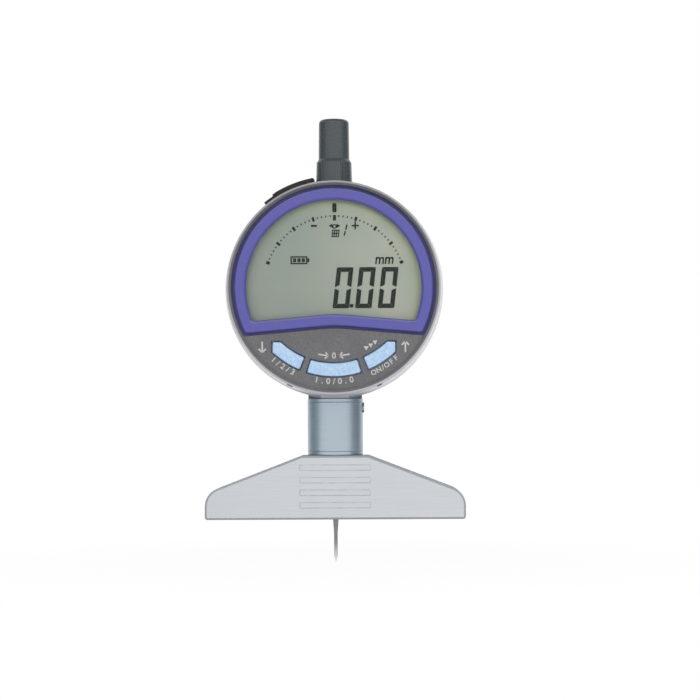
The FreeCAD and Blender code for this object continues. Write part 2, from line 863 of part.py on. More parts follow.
def guide_plate():
    half = guide_plate_width / 2
    up = front_opening_radius + guide_plate_overlap
    plate = block(-half, half, front_wall_back, plate_back_y, case_z - up, case_z + up)
    plate = plate.common(along_y(cavity_radius - easy_gap, -body_front, body_back))
    radius = pin_diameter / 2
    slot_half = radius + running_fit
    low = carrier_z - radius - easy_gap
    high = carrier_z + spindle_travel + radius + easy_gap
    slot = block(-slot_half, slot_half, -body_front, 0, low, high)
    plate = plate.cut(slot)
    for x, z in guide_screw_places():
        plate = plate.cut(small_screw_hole(x, z, plate_back_y, 1, located_fit))
    return plate


def guide_plate_screws():
    return group([small_screw(x, z, plate_back_y, 1) for x, z in guide_screw_places()])


def sensor_screw_places():
    """x and z of the sensor board's screws."""
    up = sensor_board_height / 2 - sensor_screw_inset
    across = -sensor_board_left + sensor_screw_inset
    return [(across, sensor_middle - up), (across, sensor_middle + up)]


def sensor_post_places():
    """x and z of the posts that carry the sensor board."""
    across = sensor_board_right - sensor_screw_inset
    return sensor_screw_places() + [(across, z) for _, z in sensor_screw_places()]


def sensor_board():
    half = sensor_board_height / 2
    middle = case_z + sensor_middle
    board = block(-sensor_board_left, sensor_board_right, sensor_front_y, sensor_back_y, middle - half, middle + half)
    for x, z in sensor_screw_places():
        board = board.cut(small_screw_hole(x, z, sensor_front_y, -1, located_fit))
    return board


def sensor_board_screws():
    return group([small_screw(x, z, sensor_front_y, -1) for x, z in sensor_screw_places()])


def sensor_chip():
    left = -sensor_board_left + sensor_chip_margin
    half = sensor_chip_size / 2
    middle = case_z + sensor_middle
    return block(left, left + sensor_chip_size, sensor_front_y - sensor_chip_height, sensor_front_y,
                 middle - half, middle + half)


# Data port

def data_connector():
    """Socket behind the port, its flange against the wall's inside."""
    top = body_radius - connector_recess
    flange_half = port_width / 2 + connector_flange_lip
    flange_top = math.sqrt(cavity_radius ** 2 - flange_half ** 2) - connector_play
    width, depth = port_width - 2 * connector_play, port_depth - 2 * connector_play
    plug = port_opening(width, depth, top - connector_length, top)
    flange = port_opening(width + 2 * connector_flange_lip, depth + 2 * connector_flange_lip,
                          flange_top - connector_flange_thickness, flange_top)
    socket = port_opening(connector_socket_width, connector_socket_height, top - connector_socket_depth,
                          top + overrun)
    return plug.fuse(flange).cut(socket).removeSplitter()


def data_contacts():
    blades = []
    floor = case_z + body_radius - connector_recess - connector_socket_depth
    half = contact_blade / 2
    for index in range(contact_count):
        across = (index - (contact_count - 1) / 2) * contact_pitch
        blade = block(across - half, across + half, -half, half, floor, floor + contact_rise)
        blades.append(turn_about_case(blade, port_angle))
    return group(blades)


def data_port_cover():
    """Hinged rubber cover that follows the case's curve, with a plug and a pull tab."""
    half = port_cover_width / 2
    lid = case_band(port_cover_inner, port_cover_outer, -half, half, hinge_angle, port_cover_end_angle)
    corners = []
    for edge in lid.Edges:
        centre = edge.BoundBox.Center
        away = math.degrees(math.atan2(-centre.x, centre.z - case_z))
        if edge.BoundBox.YLength < located_fit and abs(away - port_cover_end_angle) < match_angle:
            corners.append(edge)
    lid = lid.makeFillet(port_cover_corner, corners)
    tab_inner = port_cover_inner + port_tab_lift
    tab = case_band(tab_inner, tab_inner + port_tab_thickness, -port_tab_width / 2, port_tab_width / 2,
                    port_cover_end_angle - port_tab_lap_angle, port_tab_end_angle)
    lid = lid.fuse(tab)
    lid = lid.fuse(hinge_cylinder(port_cover_thickness / 2, -half, half))
    ear_half = port_ear_width / 2 + easy_gap
    lid = lid.cut(hinge_cylinder(port_cover_thickness / 2 + easy_gap, -ear_half, ear_half))
    plug = port_opening(port_width - 2 * port_plug_play, port_depth - 2 * port_plug_play,
                        body_radius - port_plug_height, port_cover_inner + port_cover_thickness / 2)
    lid = lid.fuse(plug)
    return lid.cut(hinge_bore(port_pin_diameter / 2 + running_fit)).removeSplitter()


def port_hinge_pin():
    half = port_cover_width / 2 - located_fit
    return hinge_cylinder(port_pin_diameter / 2, -half, half)


# Dust cap

def dust_cap():
    barrel, skirt = cap_diameter / 2, cap_skirt_diameter / 2
    barrel_top, skirt_rim = cap_top_diameter / 2, cap_skirt_top_diameter / 2
    thread = top_boss_diameter / 2 + located_fit
    bore = spindle_radius + cap_bore_play
    skirt_top = cap_foot + cap_skirt_height
    outline = [(thread, cap_foot), (skirt, cap_foot), (skirt_rim, skirt_top), (barrel, skirt_top + cap_shoulder)]
    outline += [(barrel_top, cap_top), (0, cap_top), (0, cap_bore_top), (bore, cap_bore_top)]
    outline += [(bore, boss_top + located_fit), (thread, boss_top + located_fit)]
    cap = turned(outline)
    crown = [e for e in cap.Edges if abs(e.BoundBox.ZMin - cap_top) < located_fit and e.BoundBox.XLength > bore]
    cap = cap.makeFillet(cap_top_radius, crown)
    for index in range(cap_flute_count):
        turn = math.radians(cap_flute_first_angle + index * 360 / cap_flute_count)
        flute_radius = cap_flute_width / 2
        place = skirt + flute_radius - cap_flute_depth
        flute = upright(flute_radius, cap_foot - overrun, skirt_top + cap_shoulder / 2,
                        place * math.cos(turn), place * math.sin(turn))
        cap = cap.cut(flute)
    return cap.removeSplitter()


# Display head

def head_housing():
    """Turning head: skirt, rim and front panel in one, with the display's recess and the button holes."""
    outline = [(skirt_radius, head_back_y), (head_radius - skirt_bevel, head_back_y)]
    outline += [(head_radius, head_back_y - skirt_bevel), (head_radius, head_front_y + rim_bevel)]
    outline += [(head_radius - rim_bevel, head_front_y), (rim_inner_radius + rim_inner_bevel, head_front_y)]
    outline += [(rim_inner_radius, head_front_y + rim_inner_bevel), (rim_inner_radius, panel_y), (0, panel_y)]
    outline += [(0, plate_y), (skirt_radius, plate_y)]
    housing = case_turned(outline)
    for x, z in board_boss_places():
        housing = housing.fuse(along_y(board_boss_diameter / 2, plate_y - located_fit, board_front_y, x, z))
    housing = housing.cut(dee(rim_inner_radius, frame_drop + frame_gap_below, panel_y - overrun, recess_y,
                              frame_corner_radius))
    housing = housing.cut(dee(opening_radius + ledge_setback, opening_drop + ledge_setback, recess_y - overrun,
                              plate_y + overrun, frame_corner_radius))
    for side in (-1, 0, 1):
        housing = housing.cut(button_form(side, button_gap, panel_y - overrun, plate_y + overrun))
    for angle in (-head_screw_angle, head_screw_angle):
        housing = housing.cut(radial_pin(head_screw_diameter / 2 + located_fit, skirt_radius - overrun,
                                         head_radius + overrun, angle))
    for x, z in board_boss_places():
        housing = housing.cut(small_screw_hole(x, z, board_back_y, 1, located_fit))
    return housing.removeSplitter()


def board_boss_places():
    """x and z of the display board's screws."""
    circle = board_radius - board_screw_inset
    return [on_circle(circle, -board_screw_angle), on_circle(circle, board_screw_angle)]


def radial_pin(radius, low, high, angle):
    """Cylinder across the head's skirt at an angle from the bottom towards +X."""
    x, z = on_circle(low, angle)
    direction = V(x, 0, z)
    direction.normalize()
    return Part.makeCylinder(radius, high - low, V(x, groove_y, case_z + z), direction)


def head_screws():
    tip = spigot_radius - spigot_groove_depth + head_screw_tip_gap
    outer = head_radius + head_screw_proud
    radius = head_screw_diameter / 2
    return group([radial_pin(radius, tip, outer, angle) for angle in (-head_screw_angle, head_screw_angle)])


def display_frame():
    frame = dee(frame_radius, frame_drop, frame_front_y, recess_y, frame_corner_radius)
    frame = frame.makeChamfer(frame_edge_bevel, edges_at_y(frame, frame_front_y))
    frame = frame.cut(dee(opening_radius, opening_drop, frame_front_y - overrun, recess_y + overrun,
                          frame_corner_radius))
    bevel_back = frame_front_y + frame_lip
    bevel = dee(opening_radius + frame_inner_bevel, opening_drop + frame_inner_bevel, frame_front_y - overrun,
                bevel_back, frame_corner_radius + frame_inner_bevel)
    frame = frame.cut(bevel.makeChamfer(frame_lip, edges_at_y(bevel, bevel_back)))
    rabbet = opening_radius + window_rabbet
    return frame.cut(dee(rabbet, opening_drop + window_rabbet, frame_front_y + frame_lip, recess_y + overrun,
                         frame_corner_radius))


def display_window():
    radius = opening_radius + window_rabbet - window_play
    drop = opening_drop + window_rabbet - window_play
    return dee(radius, drop, frame_front_y + frame_lip, recess_y, frame_corner_radius)


def lcd_panel():
    return dee(opening_radius + lcd_overlap, opening_drop + lcd_overlap, plate_y, lcd_back_y, frame_corner_radius)


def elastomer_block(play):
    """Strip between the glass and the board, or its slot with play."""
    half = elastomer_length / 2 + play
    low = case_z - opening_drop - lcd_overlap + elastomer_rise - play
    high = low + elastomer_height + 2 * play
    return block(-half, half, lcd_back_y, board_front_y, low, high)


def lcd_holder():
    inner = opening_radius + lcd_overlap + holder_play
    drop = opening_drop + lcd_overlap + holder_play
    outer = dee(inner + holder_rim, drop + holder_rim, plate_y, board_front_y, frame_corner_radius)
    outer = outer.cut(dee(inner, drop, plate_y - overrun, lcd_back_y, frame_corner_radius))
    outer = outer.cut(dee(inner - holder_ledge, drop - holder_ledge, lcd_back_y - overrun,
                          board_front_y + overrun, frame_corner_radius))
    return outer.cut(elastomer_block(elastomer_play))


def lcd_connector():
    return elastomer_block(0)


def display_board():
    board = along_y(board_radius, board_front_y, board_back_y)
    for x, z in board_boss_places():
        board = board.cut(small_screw_hole(x, z, board_back_y, 1, located_fit))
    return board


def display_board_screws():
    return group([small_screw(x, z, board_back_y, 1) for x, z in board_boss_places()])


def display_chip():
    return along_y(display_chip_diameter / 2, board_back_y, board_back_y + display_chip_height)


# Buttons

def button_form(side, grow, front, back):
    """Key outline grown by a margin: the middle one for side 0, a side one for -1 or 1."""
    inner, outer = button_inner - grow, button_outer + grow
    spread = math.degrees(grow / button_outer)
    if side == 0:
        return key_sector(inner, outer, -button_half_angle - spread, button_half_angle + spread, front, back, grow)
    key = key_sector(inner, outer, side_button_start_angle - spread, side_button_end_angle, front, back, grow)
    reach = button_outer * math.sin(math.radians(side_button_reach_angle)) + grow
    top = case_z - button_outer * math.cos(math.radians(side_button_top_angle)) + grow
    limit = block(0, reach, front, back, case_z - head_radius, top)
    key = key.common(limit)
    if side < 0:
        key = key.mirror(V(0, 0, 0), X_AXIS)
    return key


def key_sector(inner, outer, start, end, front, back, grow):
    """Part of a ring about the case's axis, its angles counted from the bottom towards +X."""
    middle = (start + end) / 2
    places = [on_circle(r, a) for r, a in ((outer, start), (outer, middle), (outer, end))]
    places += [on_circle(r, a) for r, a in ((inner, end), (inner, middle), (inner, start))]
    p = [V(x, front, case_z + z) for x, z in places]
    edges = [Part.Arc(p[0], p[1], p[2]).toShape(), Part.LineSegment(p[2], p[3]).toShape()]
    edges += [Part.Arc(p[3], p[4], p[5]).toShape(), Part.LineSegment(p[5], p[0]).toShape()]
    return Part.Face(Part.Wire(edges)).extrude(V(0, back - front, 0))


def button(side):
    """Key with its flange behind the panel and a short post over the switch."""
    front = panel_y - button_proud
    key = button_form(side, 0, front, plate_y)
    key = key.makeFillet(button_corner_radius, edges_along(key, Y_AXIS))
    key = key.makeChamfer(button_edge_bevel, edges_at_y(key, front))
    flange_back = plate_y + button_flange
    flange = button_form(side, button_flange_lip + button_gap, plate_y, flange_back)
    x, z = switch_place(side)
    post = along_y(button_post_diameter / 2, flange_back - located_fit, flange_back + button_post_length, x, z)
    return key.fuse(flange).fuse(post).removeSplitter()


def switch_place(side):
    """x and z of the switch behind a button."""
    return on_circle((button_inner + button_outer) / 2, side * side_button_middle_angle)


def button_switches():
    switches = []
    half = switch_width / 2
    for side in (-1, 0, 1):
        x, z = switch_place(side)
        case = block(x - half, x + half, board_front_y - switch_height, board_front_y,
                     case_z + z - half, case_z + z + half)
        tip = plate_y + button_flange + button_post_length + button_travel + running_fit
        plunger = along_y(switch_plunger_diameter / 2, tip, board_front_y - switch_height / 2, x, z)
        switches.append(case.fuse(plunger).removeSplitter())
    return group(switches)


pieces = {
    "depth_base": depth_base,
    "stem_sleeve": stem_sleeve,
    "clamp_screw": clamp_screw,
    "clamp_pad": clamp_pad,
    "stem": stem,
    "lower_bush": lower_bush,
    "upper_bush": upper_bush,
    "bumper_ring": bumper_ring,
    "spindle": spindle,
    "needle_point": needle_point,
    "stop_collar": stop_collar,
    "scale_carrier": scale_carrier,
    "scale_strip": scale_strip,
    "anti_rotation_pin": anti_rotation_pin,
    "return_spring": return_spring,
    "rear_body": rear_body,
    "friction_ring": friction_ring,
    "rear_cover": rear_cover,
    "rear_cover_screws": rear_cover_screws,
    "cover_gasket": cover_gasket,
    "battery_holder": battery_holder,
    "battery_contact": battery_contact,
    "coin_cell": coin_cell,
    "battery_cover": battery_cover,
    "battery_seal": battery_seal,
    "guide_plate": guide_plate,
    "guide_plate_screws": guide_plate_screws,
    "sensor_board": sensor_board,
    "sensor_board_screws": sensor_board_screws,
    "sensor_chip": sensor_chip,
    "data_connector": data_connector,
    "data_contacts": data_contacts,
    "data_port_cover": data_port_cover,
    "port_hinge_pin": port_hinge_pin,
    "dust_cap": dust_cap,
    "head_housing": head_housing,
    "head_screws": head_screws,
    "display_frame": display_frame,
    "display_window": display_window,
    "lcd_panel": lcd_panel,
    "lcd_holder": lcd_holder,
    "lcd_connector": lcd_connector,
    "display_board": display_board,
    "display_board_screws": display_board_screws,
    "display_chip": display_chip,
    "button_switches": button_switches,
}

for name, make in pieces.items():
    make().exportStep("parts/" + name + ".step")

for name, side in (("left_button", -1), ("centre_button", 0), ("right_button", 1)):
    button(side).exportStep("parts/" + name + ".step")
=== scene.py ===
import json
import math

import bpy
from mathutils import Matrix, Vector


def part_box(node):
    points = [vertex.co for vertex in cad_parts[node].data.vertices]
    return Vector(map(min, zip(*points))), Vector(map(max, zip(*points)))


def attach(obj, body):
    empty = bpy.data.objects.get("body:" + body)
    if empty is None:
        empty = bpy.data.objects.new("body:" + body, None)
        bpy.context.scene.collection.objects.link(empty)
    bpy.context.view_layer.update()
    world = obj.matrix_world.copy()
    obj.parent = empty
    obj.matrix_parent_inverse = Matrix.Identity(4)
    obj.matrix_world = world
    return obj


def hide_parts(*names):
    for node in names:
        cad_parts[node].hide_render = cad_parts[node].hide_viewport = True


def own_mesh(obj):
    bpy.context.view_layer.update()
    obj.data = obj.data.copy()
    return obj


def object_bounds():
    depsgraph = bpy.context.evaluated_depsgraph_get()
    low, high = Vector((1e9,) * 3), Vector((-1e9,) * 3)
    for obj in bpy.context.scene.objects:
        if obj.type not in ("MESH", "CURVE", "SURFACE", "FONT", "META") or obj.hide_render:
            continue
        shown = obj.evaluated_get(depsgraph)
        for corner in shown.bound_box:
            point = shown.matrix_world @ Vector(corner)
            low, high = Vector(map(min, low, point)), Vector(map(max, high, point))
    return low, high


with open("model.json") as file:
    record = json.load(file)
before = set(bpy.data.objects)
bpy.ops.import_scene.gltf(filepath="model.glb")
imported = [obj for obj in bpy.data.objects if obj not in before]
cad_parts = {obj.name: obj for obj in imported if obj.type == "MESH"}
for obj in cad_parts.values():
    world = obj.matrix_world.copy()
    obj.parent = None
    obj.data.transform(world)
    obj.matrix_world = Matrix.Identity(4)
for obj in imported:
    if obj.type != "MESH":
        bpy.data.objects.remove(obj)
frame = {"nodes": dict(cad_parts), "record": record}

# Digital depth gauge. Metres, +Z up, the display looks towards -Y.
cad_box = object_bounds()
nodes = frame["nodes"]

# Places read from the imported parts
case_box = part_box("rear_body")
head_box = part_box("head_housing")
case_x = (head_box[0].x + head_box[1].x) / 2
case_z = (head_box[0].z + head_box[1].z) / 2
case_centre = Vector((case_x, 0, case_z))
lcd_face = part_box("lcd_panel")[0].y
key_height = 0.0005
panel_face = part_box("centre_button")[0].y + key_height
cover_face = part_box("rear_cover")[1].y
front_edge_setback = 0.0041
front_edge_y = case_box[0].y + front_edge_setback
case_radius = (case_box[1].x - case_box[0].x) / 2
foot_corner_margin = 0.0001
rim_width = 0.0013
head_radius = (head_box[1].x - head_box[0].x) / 2
rim_inner_radius = head_radius - rim_width
edge_cut_width = 0.0006

# Prints and display marks
mark_depth = 0.00002
mark_height = 0.00003
lcd_mark_height = 0.00006
crossing_height = 0.00005
print_bold = 0.00004
fine_corner = 0.00005
mark_corner = 0.0001
wide_corner = 0.0002


# Selecting and placing

def deselect():
    bpy.ops.object.select_all(action="DESELECT")


def edit_mode():
    bpy.ops.object.mode_set(mode="EDIT")


def object_mode():
    bpy.ops.object.mode_set(mode="OBJECT")


def only(piece):
    """Selects one piece and makes it the active one."""
    deselect()
    piece.select_set(True)
    bpy.context.view_layer.objects.active = piece


def settle(piece):
    """Moves a piece's place, turn and size into its mesh."""
    bpy.context.view_layer.update()
    piece.data.transform(piece.matrix_world)
    piece.matrix_world = Matrix.Identity(4)
    return piece


def copy_of(piece):
    """A copy with a mesh of its own."""
    twin = piece.copy()
    twin.data = piece.data.copy()
    bpy.context.scene.collection.objects.link(twin)
    return twin


def joined(name, parts):
    """One piece from several."""
    only(parts[0])
    for part in parts:
        part.select_set(True)
    if len(parts) > 1:
        bpy.ops.object.join()
    piece = bpy.context.object
    piece.name = name
    piece.data.name = name
    return piece


def apply_modifiers(piece):
    only(piece)
    for modifier in list(piece.modifiers):
        bpy.ops.object.modifier_apply(modifier=modifier.name)


def normals_out(piece):
    only(piece)
    edit_mode()
    bpy.ops.mesh.select_all(action="SELECT")
    bpy.ops.mesh.normals_make_consistent(inside=False)
    object_mode()


def pick(piece, test):
    """Selects the vertices that pass a test, in edit mode afterwards."""
    only(piece)
    edit_mode()
    bpy.ops.mesh.select_mode(type="VERT")
    bpy.ops.mesh.select_all(action="DESELECT")
    object_mode()
    for vertex in piece.data.vertices:
        vertex.select = test(vertex.co)
    edit_mode()


def finished(piece, body, material):
    """A new piece's material, body and slot."""
    piece.data.materials.clear()
    piece.data.materials.append(material)
    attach(piece, body)
    return piece


# Flat marks: drawn in XY, their height along +Z, then laid on a face that looks towards -Y

def flat_bar(length, width, corner, height):
    """Bar with cut corners."""
    deselect()
    bpy.ops.mesh.primitive_plane_add(size=1)
    bar = bpy.context.object
    edit_mode()
    bpy.ops.mesh.select_all(action="SELECT")
    bpy.ops.transform.resize(value=(length, width, 1))
    bpy.ops.mesh.bevel(offset=corner, affect="VERTICES", segments=2)
    bpy.ops.mesh.select_all(action="SELECT")
    bpy.ops.mesh.extrude_region_move(TRANSFORM_OT_translate={"value": (0, 0, height)})
    object_mode()
    normals_out(bar)
    return bar


def flat_wedge(length, width, height):
    """Triangle with its point towards +X."""
    deselect()
    bpy.ops.mesh.primitive_plane_add(size=1)
    wedge = bpy.context.object
    edit_mode()
    bpy.ops.mesh.select_all(action="SELECT")
    bpy.ops.transform.resize(value=(length, width, 1))
    object_mode()
    pick(wedge, lambda co: co.x > 0)
    bpy.ops.mesh.merge(type="CENTER")
    bpy.ops.mesh.select_all(action="SELECT")
    bpy.ops.mesh.extrude_region_move(TRANSFORM_OT_translate={"value": (0, 0, height)})
    object_mode()
    normals_out(wedge)
    return wedge


def letters(text, size, height, slant=0.0, bold=0.0):
    """Plain sign, centred, its strokes thickened by bold on each side."""
    deselect()
    bpy.ops.object.text_add()
    sign = bpy.context.object
    sign.data.body = text
    sign.data.size = size
    sign.data.align_x = "CENTER"
    sign.data.align_y = "CENTER"
    sign.data.shear = slant
    sign.data.offset = bold
    sign.data.extrude = height / 2
    sign.data.resolution_u = 3
    only(sign)
    bpy.ops.object.convert(target="MESH")
    sign = bpy.context.object
    sign.data.transform(Matrix.Translation((0, 0, height / 2)))
    return sign


def moved(piece, x, y, turn=0.0, slant=0.0):
    """Slants, turns and moves a flat mark in its own plane."""
    lean = Matrix(((1, math.tan(math.radians(slant)), 0, 0), (0, 1, 0, 0), (0, 0, 1, 0), (0, 0, 0, 1)))
    place = Matrix.Translation((x, y, 0)) @ Matrix.Rotation(math.radians(turn), 4, "Z")
    piece.data.transform(place @ lean)
    return piece


def laid(piece, face_y, depth=0.0):
    """Lays a drawing on a face in front of the case, its middle on the case's axis."""
    place = Matrix.Translation((case_x, face_y + depth, case_z)) @ Matrix.Rotation(math.radians(90), 4, "X")
    piece.data.transform(place)
    piece.matrix_world = Matrix.Identity(4)
    return piece


def around(piece, radius, angle):
    """Puts a mark on a circle, at an angle counted from the bottom towards +X, its foot towards the rim."""
    turn = math.radians(angle)
    return moved(piece, radius * math.sin(turn), -radius * math.cos(turn), angle)


def around_top(piece, radius, angle, drop=0.0):
    """Puts a mark on a circle, at an angle counted from the top towards +X, its head towards the rim."""
    turn = math.radians(angle)
    return moved(piece, radius * math.sin(turn), radius * math.cos(turn) - drop, -angle)


# Shader helpers

def linear(red, green, blue):
    """Colour as seen on a screen, 0 to 255, to Blender's own scale."""
    parts = []
    for value in (red, green, blue):
        share = value / 255
        parts.append(share / 12.92 if share <= 0.04045 else ((share + 0.055) / 1.055) ** 2.4)
    return (*parts, 1)


def node(tree, kind, links=None, **settings):
    made = tree.nodes.new("ShaderNode" + kind)
    for key, value in settings.items():
        setattr(made, key, value)
    for key, value in (links or {}).items():
        if isinstance(value, bpy.types.NodeSocket):
            tree.links.new(value, made.inputs[key])
        else:
            made.inputs[key].default_value = value
    return made


def new_group(name, inputs, outputs):
    """Node group with named sockets, with its input and output nodes."""
    tree = bpy.data.node_groups.new(name, "ShaderNodeTree")
    for label, kind, value in inputs:
        socket = tree.interface.new_socket(label, in_out="INPUT", socket_type=kind)
        socket.default_value = value
    for label, kind in outputs:
        tree.interface.new_socket(label, in_out="OUTPUT", socket_type=kind)
    return tree, tree.nodes.new("NodeGroupInput"), tree.nodes.new("NodeGroupOutput")


def use(tree, group, output, **values):
    """Output of a shared group, with this material's own values."""
    made = tree.nodes.new("ShaderNodeGroup")
    made.node_tree = group
    for key, value in values.items():
        made.inputs[key.replace("_", " ")].default_value = value
    return made.outputs[output]


def ramp(tree, value, low, high, to_low=0.0, to_high=1.0):
    """Value mapped from one span to another, smooth and held at the ends."""
    made = node(tree, "MapRange", {"Value": value, "From Min": low, "From Max": high, "To Min": to_low,
                                   "To Max": to_high}, interpolation_type="SMOOTHSTEP")
    return made.outputs[0]


def blend_colour(tree, share, first, second):
    """First colour where the share is 0, second where it is 1."""
    made = node(tree, "Mix", {0: share, 6: first, 7: second}, data_type="RGBA")
    return made.outputs[2]


def sums(tree, operation, *values):
    made = node(tree, "Math", dict(enumerate(values)), operation=operation)
    return made.outputs[0]


def facing(tree):
    """The surface's direction, as its shares along X, Y and Z."""
    return node(tree, "SeparateXYZ", {0: node(tree, "NewGeometry").outputs["Normal"]}).outputs


def colour_so_far(shader):
    """What feeds a material's colour at present."""
    return shader.inputs["Base Color"].links[0].from_socket


# Shared effects

def grain_group():
    """Long fine lines, such as grinding leaves. Stretch is in lines a metre along each axis."""
    tree, given, out = new_group("Machined grain", [("Stretch", "NodeSocketVector", (1, 1, 1))],
                                 [("Lines", "NodeSocketFloat")])
    place = node(tree, "TexCoord").outputs["Object"]
    stretched = node(tree, "VectorMath", {0: place, 1: given.outputs["Stretch"]}, operation="MULTIPLY")
    noise = node(tree, "TexNoise", {"Vector": stretched.outputs[0], "Scale": 1.0, "Detail": 4.0,
                                    "Roughness": 0.6})
    tree.links.new(noise.outputs["Fac"], out.inputs["Lines"])
    return tree


def turned_group():
    """Fine rings about the case's axis, such as a lathe leaves."""
    tree, given, out = new_group("Turned rings", [("Rings", "NodeSocketFloat", 1000.0)],
                                 [("Lines", "NodeSocketFloat"), ("Radius", "NodeSocketFloat"),
                                  ("Depth", "NodeSocketFloat"), ("Height", "NodeSocketFloat")])
    place = node(tree, "TexCoord").outputs["Object"]
    from_axis = node(tree, "VectorMath", {0: place, 1: case_centre}, operation="SUBTRACT")
    split = node(tree, "SeparateXYZ", {0: from_axis.outputs[0]})
    flat = node(tree, "CombineXYZ", {0: split.outputs[0], 1: 0.0, 2: split.outputs[2]})
    radius = node(tree, "VectorMath", {0: flat.outputs[0]}, operation="LENGTH").outputs["Value"]
    angle = sums(tree, "ARCTAN2", split.outputs[0], split.outputs[2])
    line = node(tree, "CombineXYZ", {0: sums(tree, "MULTIPLY", radius, given.outputs["Rings"]), 1: angle,
                                     2: sums(tree, "MULTIPLY", split.outputs[1], given.outputs["Rings"])})
    noise = node(tree, "TexNoise", {"Vector": line.outputs[0], "Scale": 1.0, "Detail": 3.0, "Roughness": 0.6})
    tree.links.new(noise.outputs["Fac"], out.inputs["Lines"])
    tree.links.new(radius, out.inputs["Radius"])
    tree.links.new(split.outputs[1], out.inputs["Depth"])
    tree.links.new(split.outputs[2], out.inputs["Height"])
    return tree


def speckle_group():
    """Fine even speckle, such as textured paint or moulded plastic has."""
    tree, given, out = new_group("Speckle", [("Fineness", "NodeSocketFloat", 3000.0)],
                                 [("Grain", "NodeSocketFloat")])
    place = node(tree, "TexCoord").outputs["Object"]
    noise = node(tree, "TexNoise", {"Vector": place, "Scale": given.outputs["Fineness"], "Detail": 3.0,
                                    "Roughness": 0.7})
    tree.links.new(noise.outputs["Fac"], out.inputs["Grain"])
    return tree


def edge_wear_and_shade_group():
    """Mask along a piece's edges, broken up by noise: wear on most pieces, painted shade lines on the ground
    base.
    """
    tree, given, out = new_group("Edge wear and shade", [("Width", "NodeSocketFloat", 0.0002),
                                               ("Breakup", "NodeSocketFloat", 400.0)],
                                 [("Mask", "NodeSocketFloat")])
    rounded = node(tree, "Bevel", {"Radius": given.outputs["Width"]}, samples=4)
    plain = node(tree, "NewGeometry").outputs["Normal"]
    together = node(tree, "VectorMath", {0: rounded.outputs[0], 1: plain}, operation="DOT_PRODUCT")
    edge = ramp(tree, together.outputs["Value"], 0.995, 0.9)
    place = node(tree, "TexCoord").outputs["Object"]
    noise = node(tree, "TexNoise", {"Vector": place, "Scale": given.outputs["Breakup"], "Detail": 2.0})
    broken = ramp(tree, noise.outputs["Fac"], 0.35, 0.6, 0.35, 1.0)
    tree.links.new(sums(tree, "MULTIPLY", edge, broken), out.inputs["Mask"])
    return tree


def handling_group():
    """Soft wide patches, such as handling leaves."""
    tree, given, out = new_group("Handling patches", [("Size", "NodeSocketFloat", 60.0)],
                                 [("Patches", "NodeSocketFloat")])
    place = node(tree, "TexCoord").outputs["Object"]
    noise = node(tree, "TexNoise", {"Vector": place, "Scale": given.outputs["Size"], "Detail": 2.0})
    tree.links.new(ramp(tree, noise.outputs["Fac"], 0.35, 0.7), out.inputs["Patches"])
    return tree


machined_grain = grain_group()
turned_rings = turned_group()
speckle = speckle_group()
edge_wear_and_shade = edge_wear_and_shade_group()
handling_patches = handling_group()


def rings_of(tree, rings_a_metre=1000.0):
    """Outputs of the turned rings, for a material that uses several."""
    made = node(tree, "Group", node_tree=turned_rings)
    made.inputs["Rings"].default_value = rings_a_metre
    return made.outputs


def new_material(name):
    material = bpy.data.materials.new(name)
    material.use_nodes = True
    return material, material.node_tree, material.node_tree.nodes["Principled BSDF"]


def bumped(tree, height, distance, strength=1.0):
    return node(tree, "Bump", {"Height": height, "Distance": distance, "Strength": strength}).outputs[0]


def machined(name, colour, dark, stretch, rough, metal=1.0, edge=None, edge_width=0.0002, bump=0.000004):
    """Ground or turned metal: grain in its colour, gloss and surface, patches from handling, and a colour
    along its edges: wear on most pieces, painted shade on the ground base.
    """
    material, tree, shader = new_material(name)
    lines = use(tree, machined_grain, "Lines", Stretch=stretch)
    patches = use(tree, handling_patches, "Patches")
    shade = blend_colour(tree, ramp(tree, lines, 0.3, 0.7), dark, colour)
    if edge:
        shade = blend_colour(tree, use(tree, edge_wear_and_shade, "Mask", Width=edge_width), shade, edge)
    tree.links.new(shade, shader.inputs["Base Color"])
    gloss = sums(tree, "ADD", ramp(tree, lines, 0.25, 0.75, rough - 0.05, rough + 0.05),
                 ramp(tree, patches, 0.0, 1.0, -0.02, 0.03))
    tree.links.new(gloss, shader.inputs["Roughness"])
    tree.links.new(bumped(tree, lines, bump), shader.inputs["Normal"])
    shader.inputs["Metallic"].default_value = metal
    return material


def moulded(name, colour, second, fineness, rough, bump=0.00001, edge=None, edge_width=0.0002, shine=0.5):
    """Plastic, rubber or paint: fine speckle in its colour, gloss and surface, with lighter worn edges."""
    material, tree, shader = new_material(name)
    grain = use(tree, speckle, "Grain", Fineness=fineness)
    patches = use(tree, handling_patches, "Patches")
    shade = blend_colour(tree, ramp(tree, grain, 0.3, 0.7), colour, second)
    if edge:
        shade = blend_colour(tree, use(tree, edge_wear_and_shade, "Mask", Width=edge_width), shade, edge)
    tree.links.new(shade, shader.inputs["Base Color"])
    gloss = sums(tree, "ADD", ramp(tree, grain, 0.3, 0.7, rough - 0.05, rough + 0.05),
                 ramp(tree, patches, 0.0, 1.0, -0.03, 0.04))
    tree.links.new(gloss, shader.inputs["Roughness"])
    tree.links.new(bumped(tree, grain, bump), shader.inputs["Normal"])
    shader.inputs["Specular IOR Level"].default_value = shine
    return material


# Finishes of single pieces

def matt_share(material, share, colour, metal=0.0):
    """Makes a share of a metal's surface matt, with a colour of its own."""
    tree = material.node_tree
    shader = tree.nodes["Principled BSDF"]
    shade = blend_colour(tree, share, colour_so_far(shader), colour)
    gloss = node(tree, "Mix", {0: share, 2: shader.inputs["Roughness"].links[0].from_socket, 3: 1.0})
    tree.links.new(shade, shader.inputs["Base Color"])
    tree.links.new(gloss.outputs[0], shader.inputs["Roughness"])
    tree.links.new(ramp(tree, share, 0.0, 1.0, 1.0, metal), shader.inputs["Metallic"])


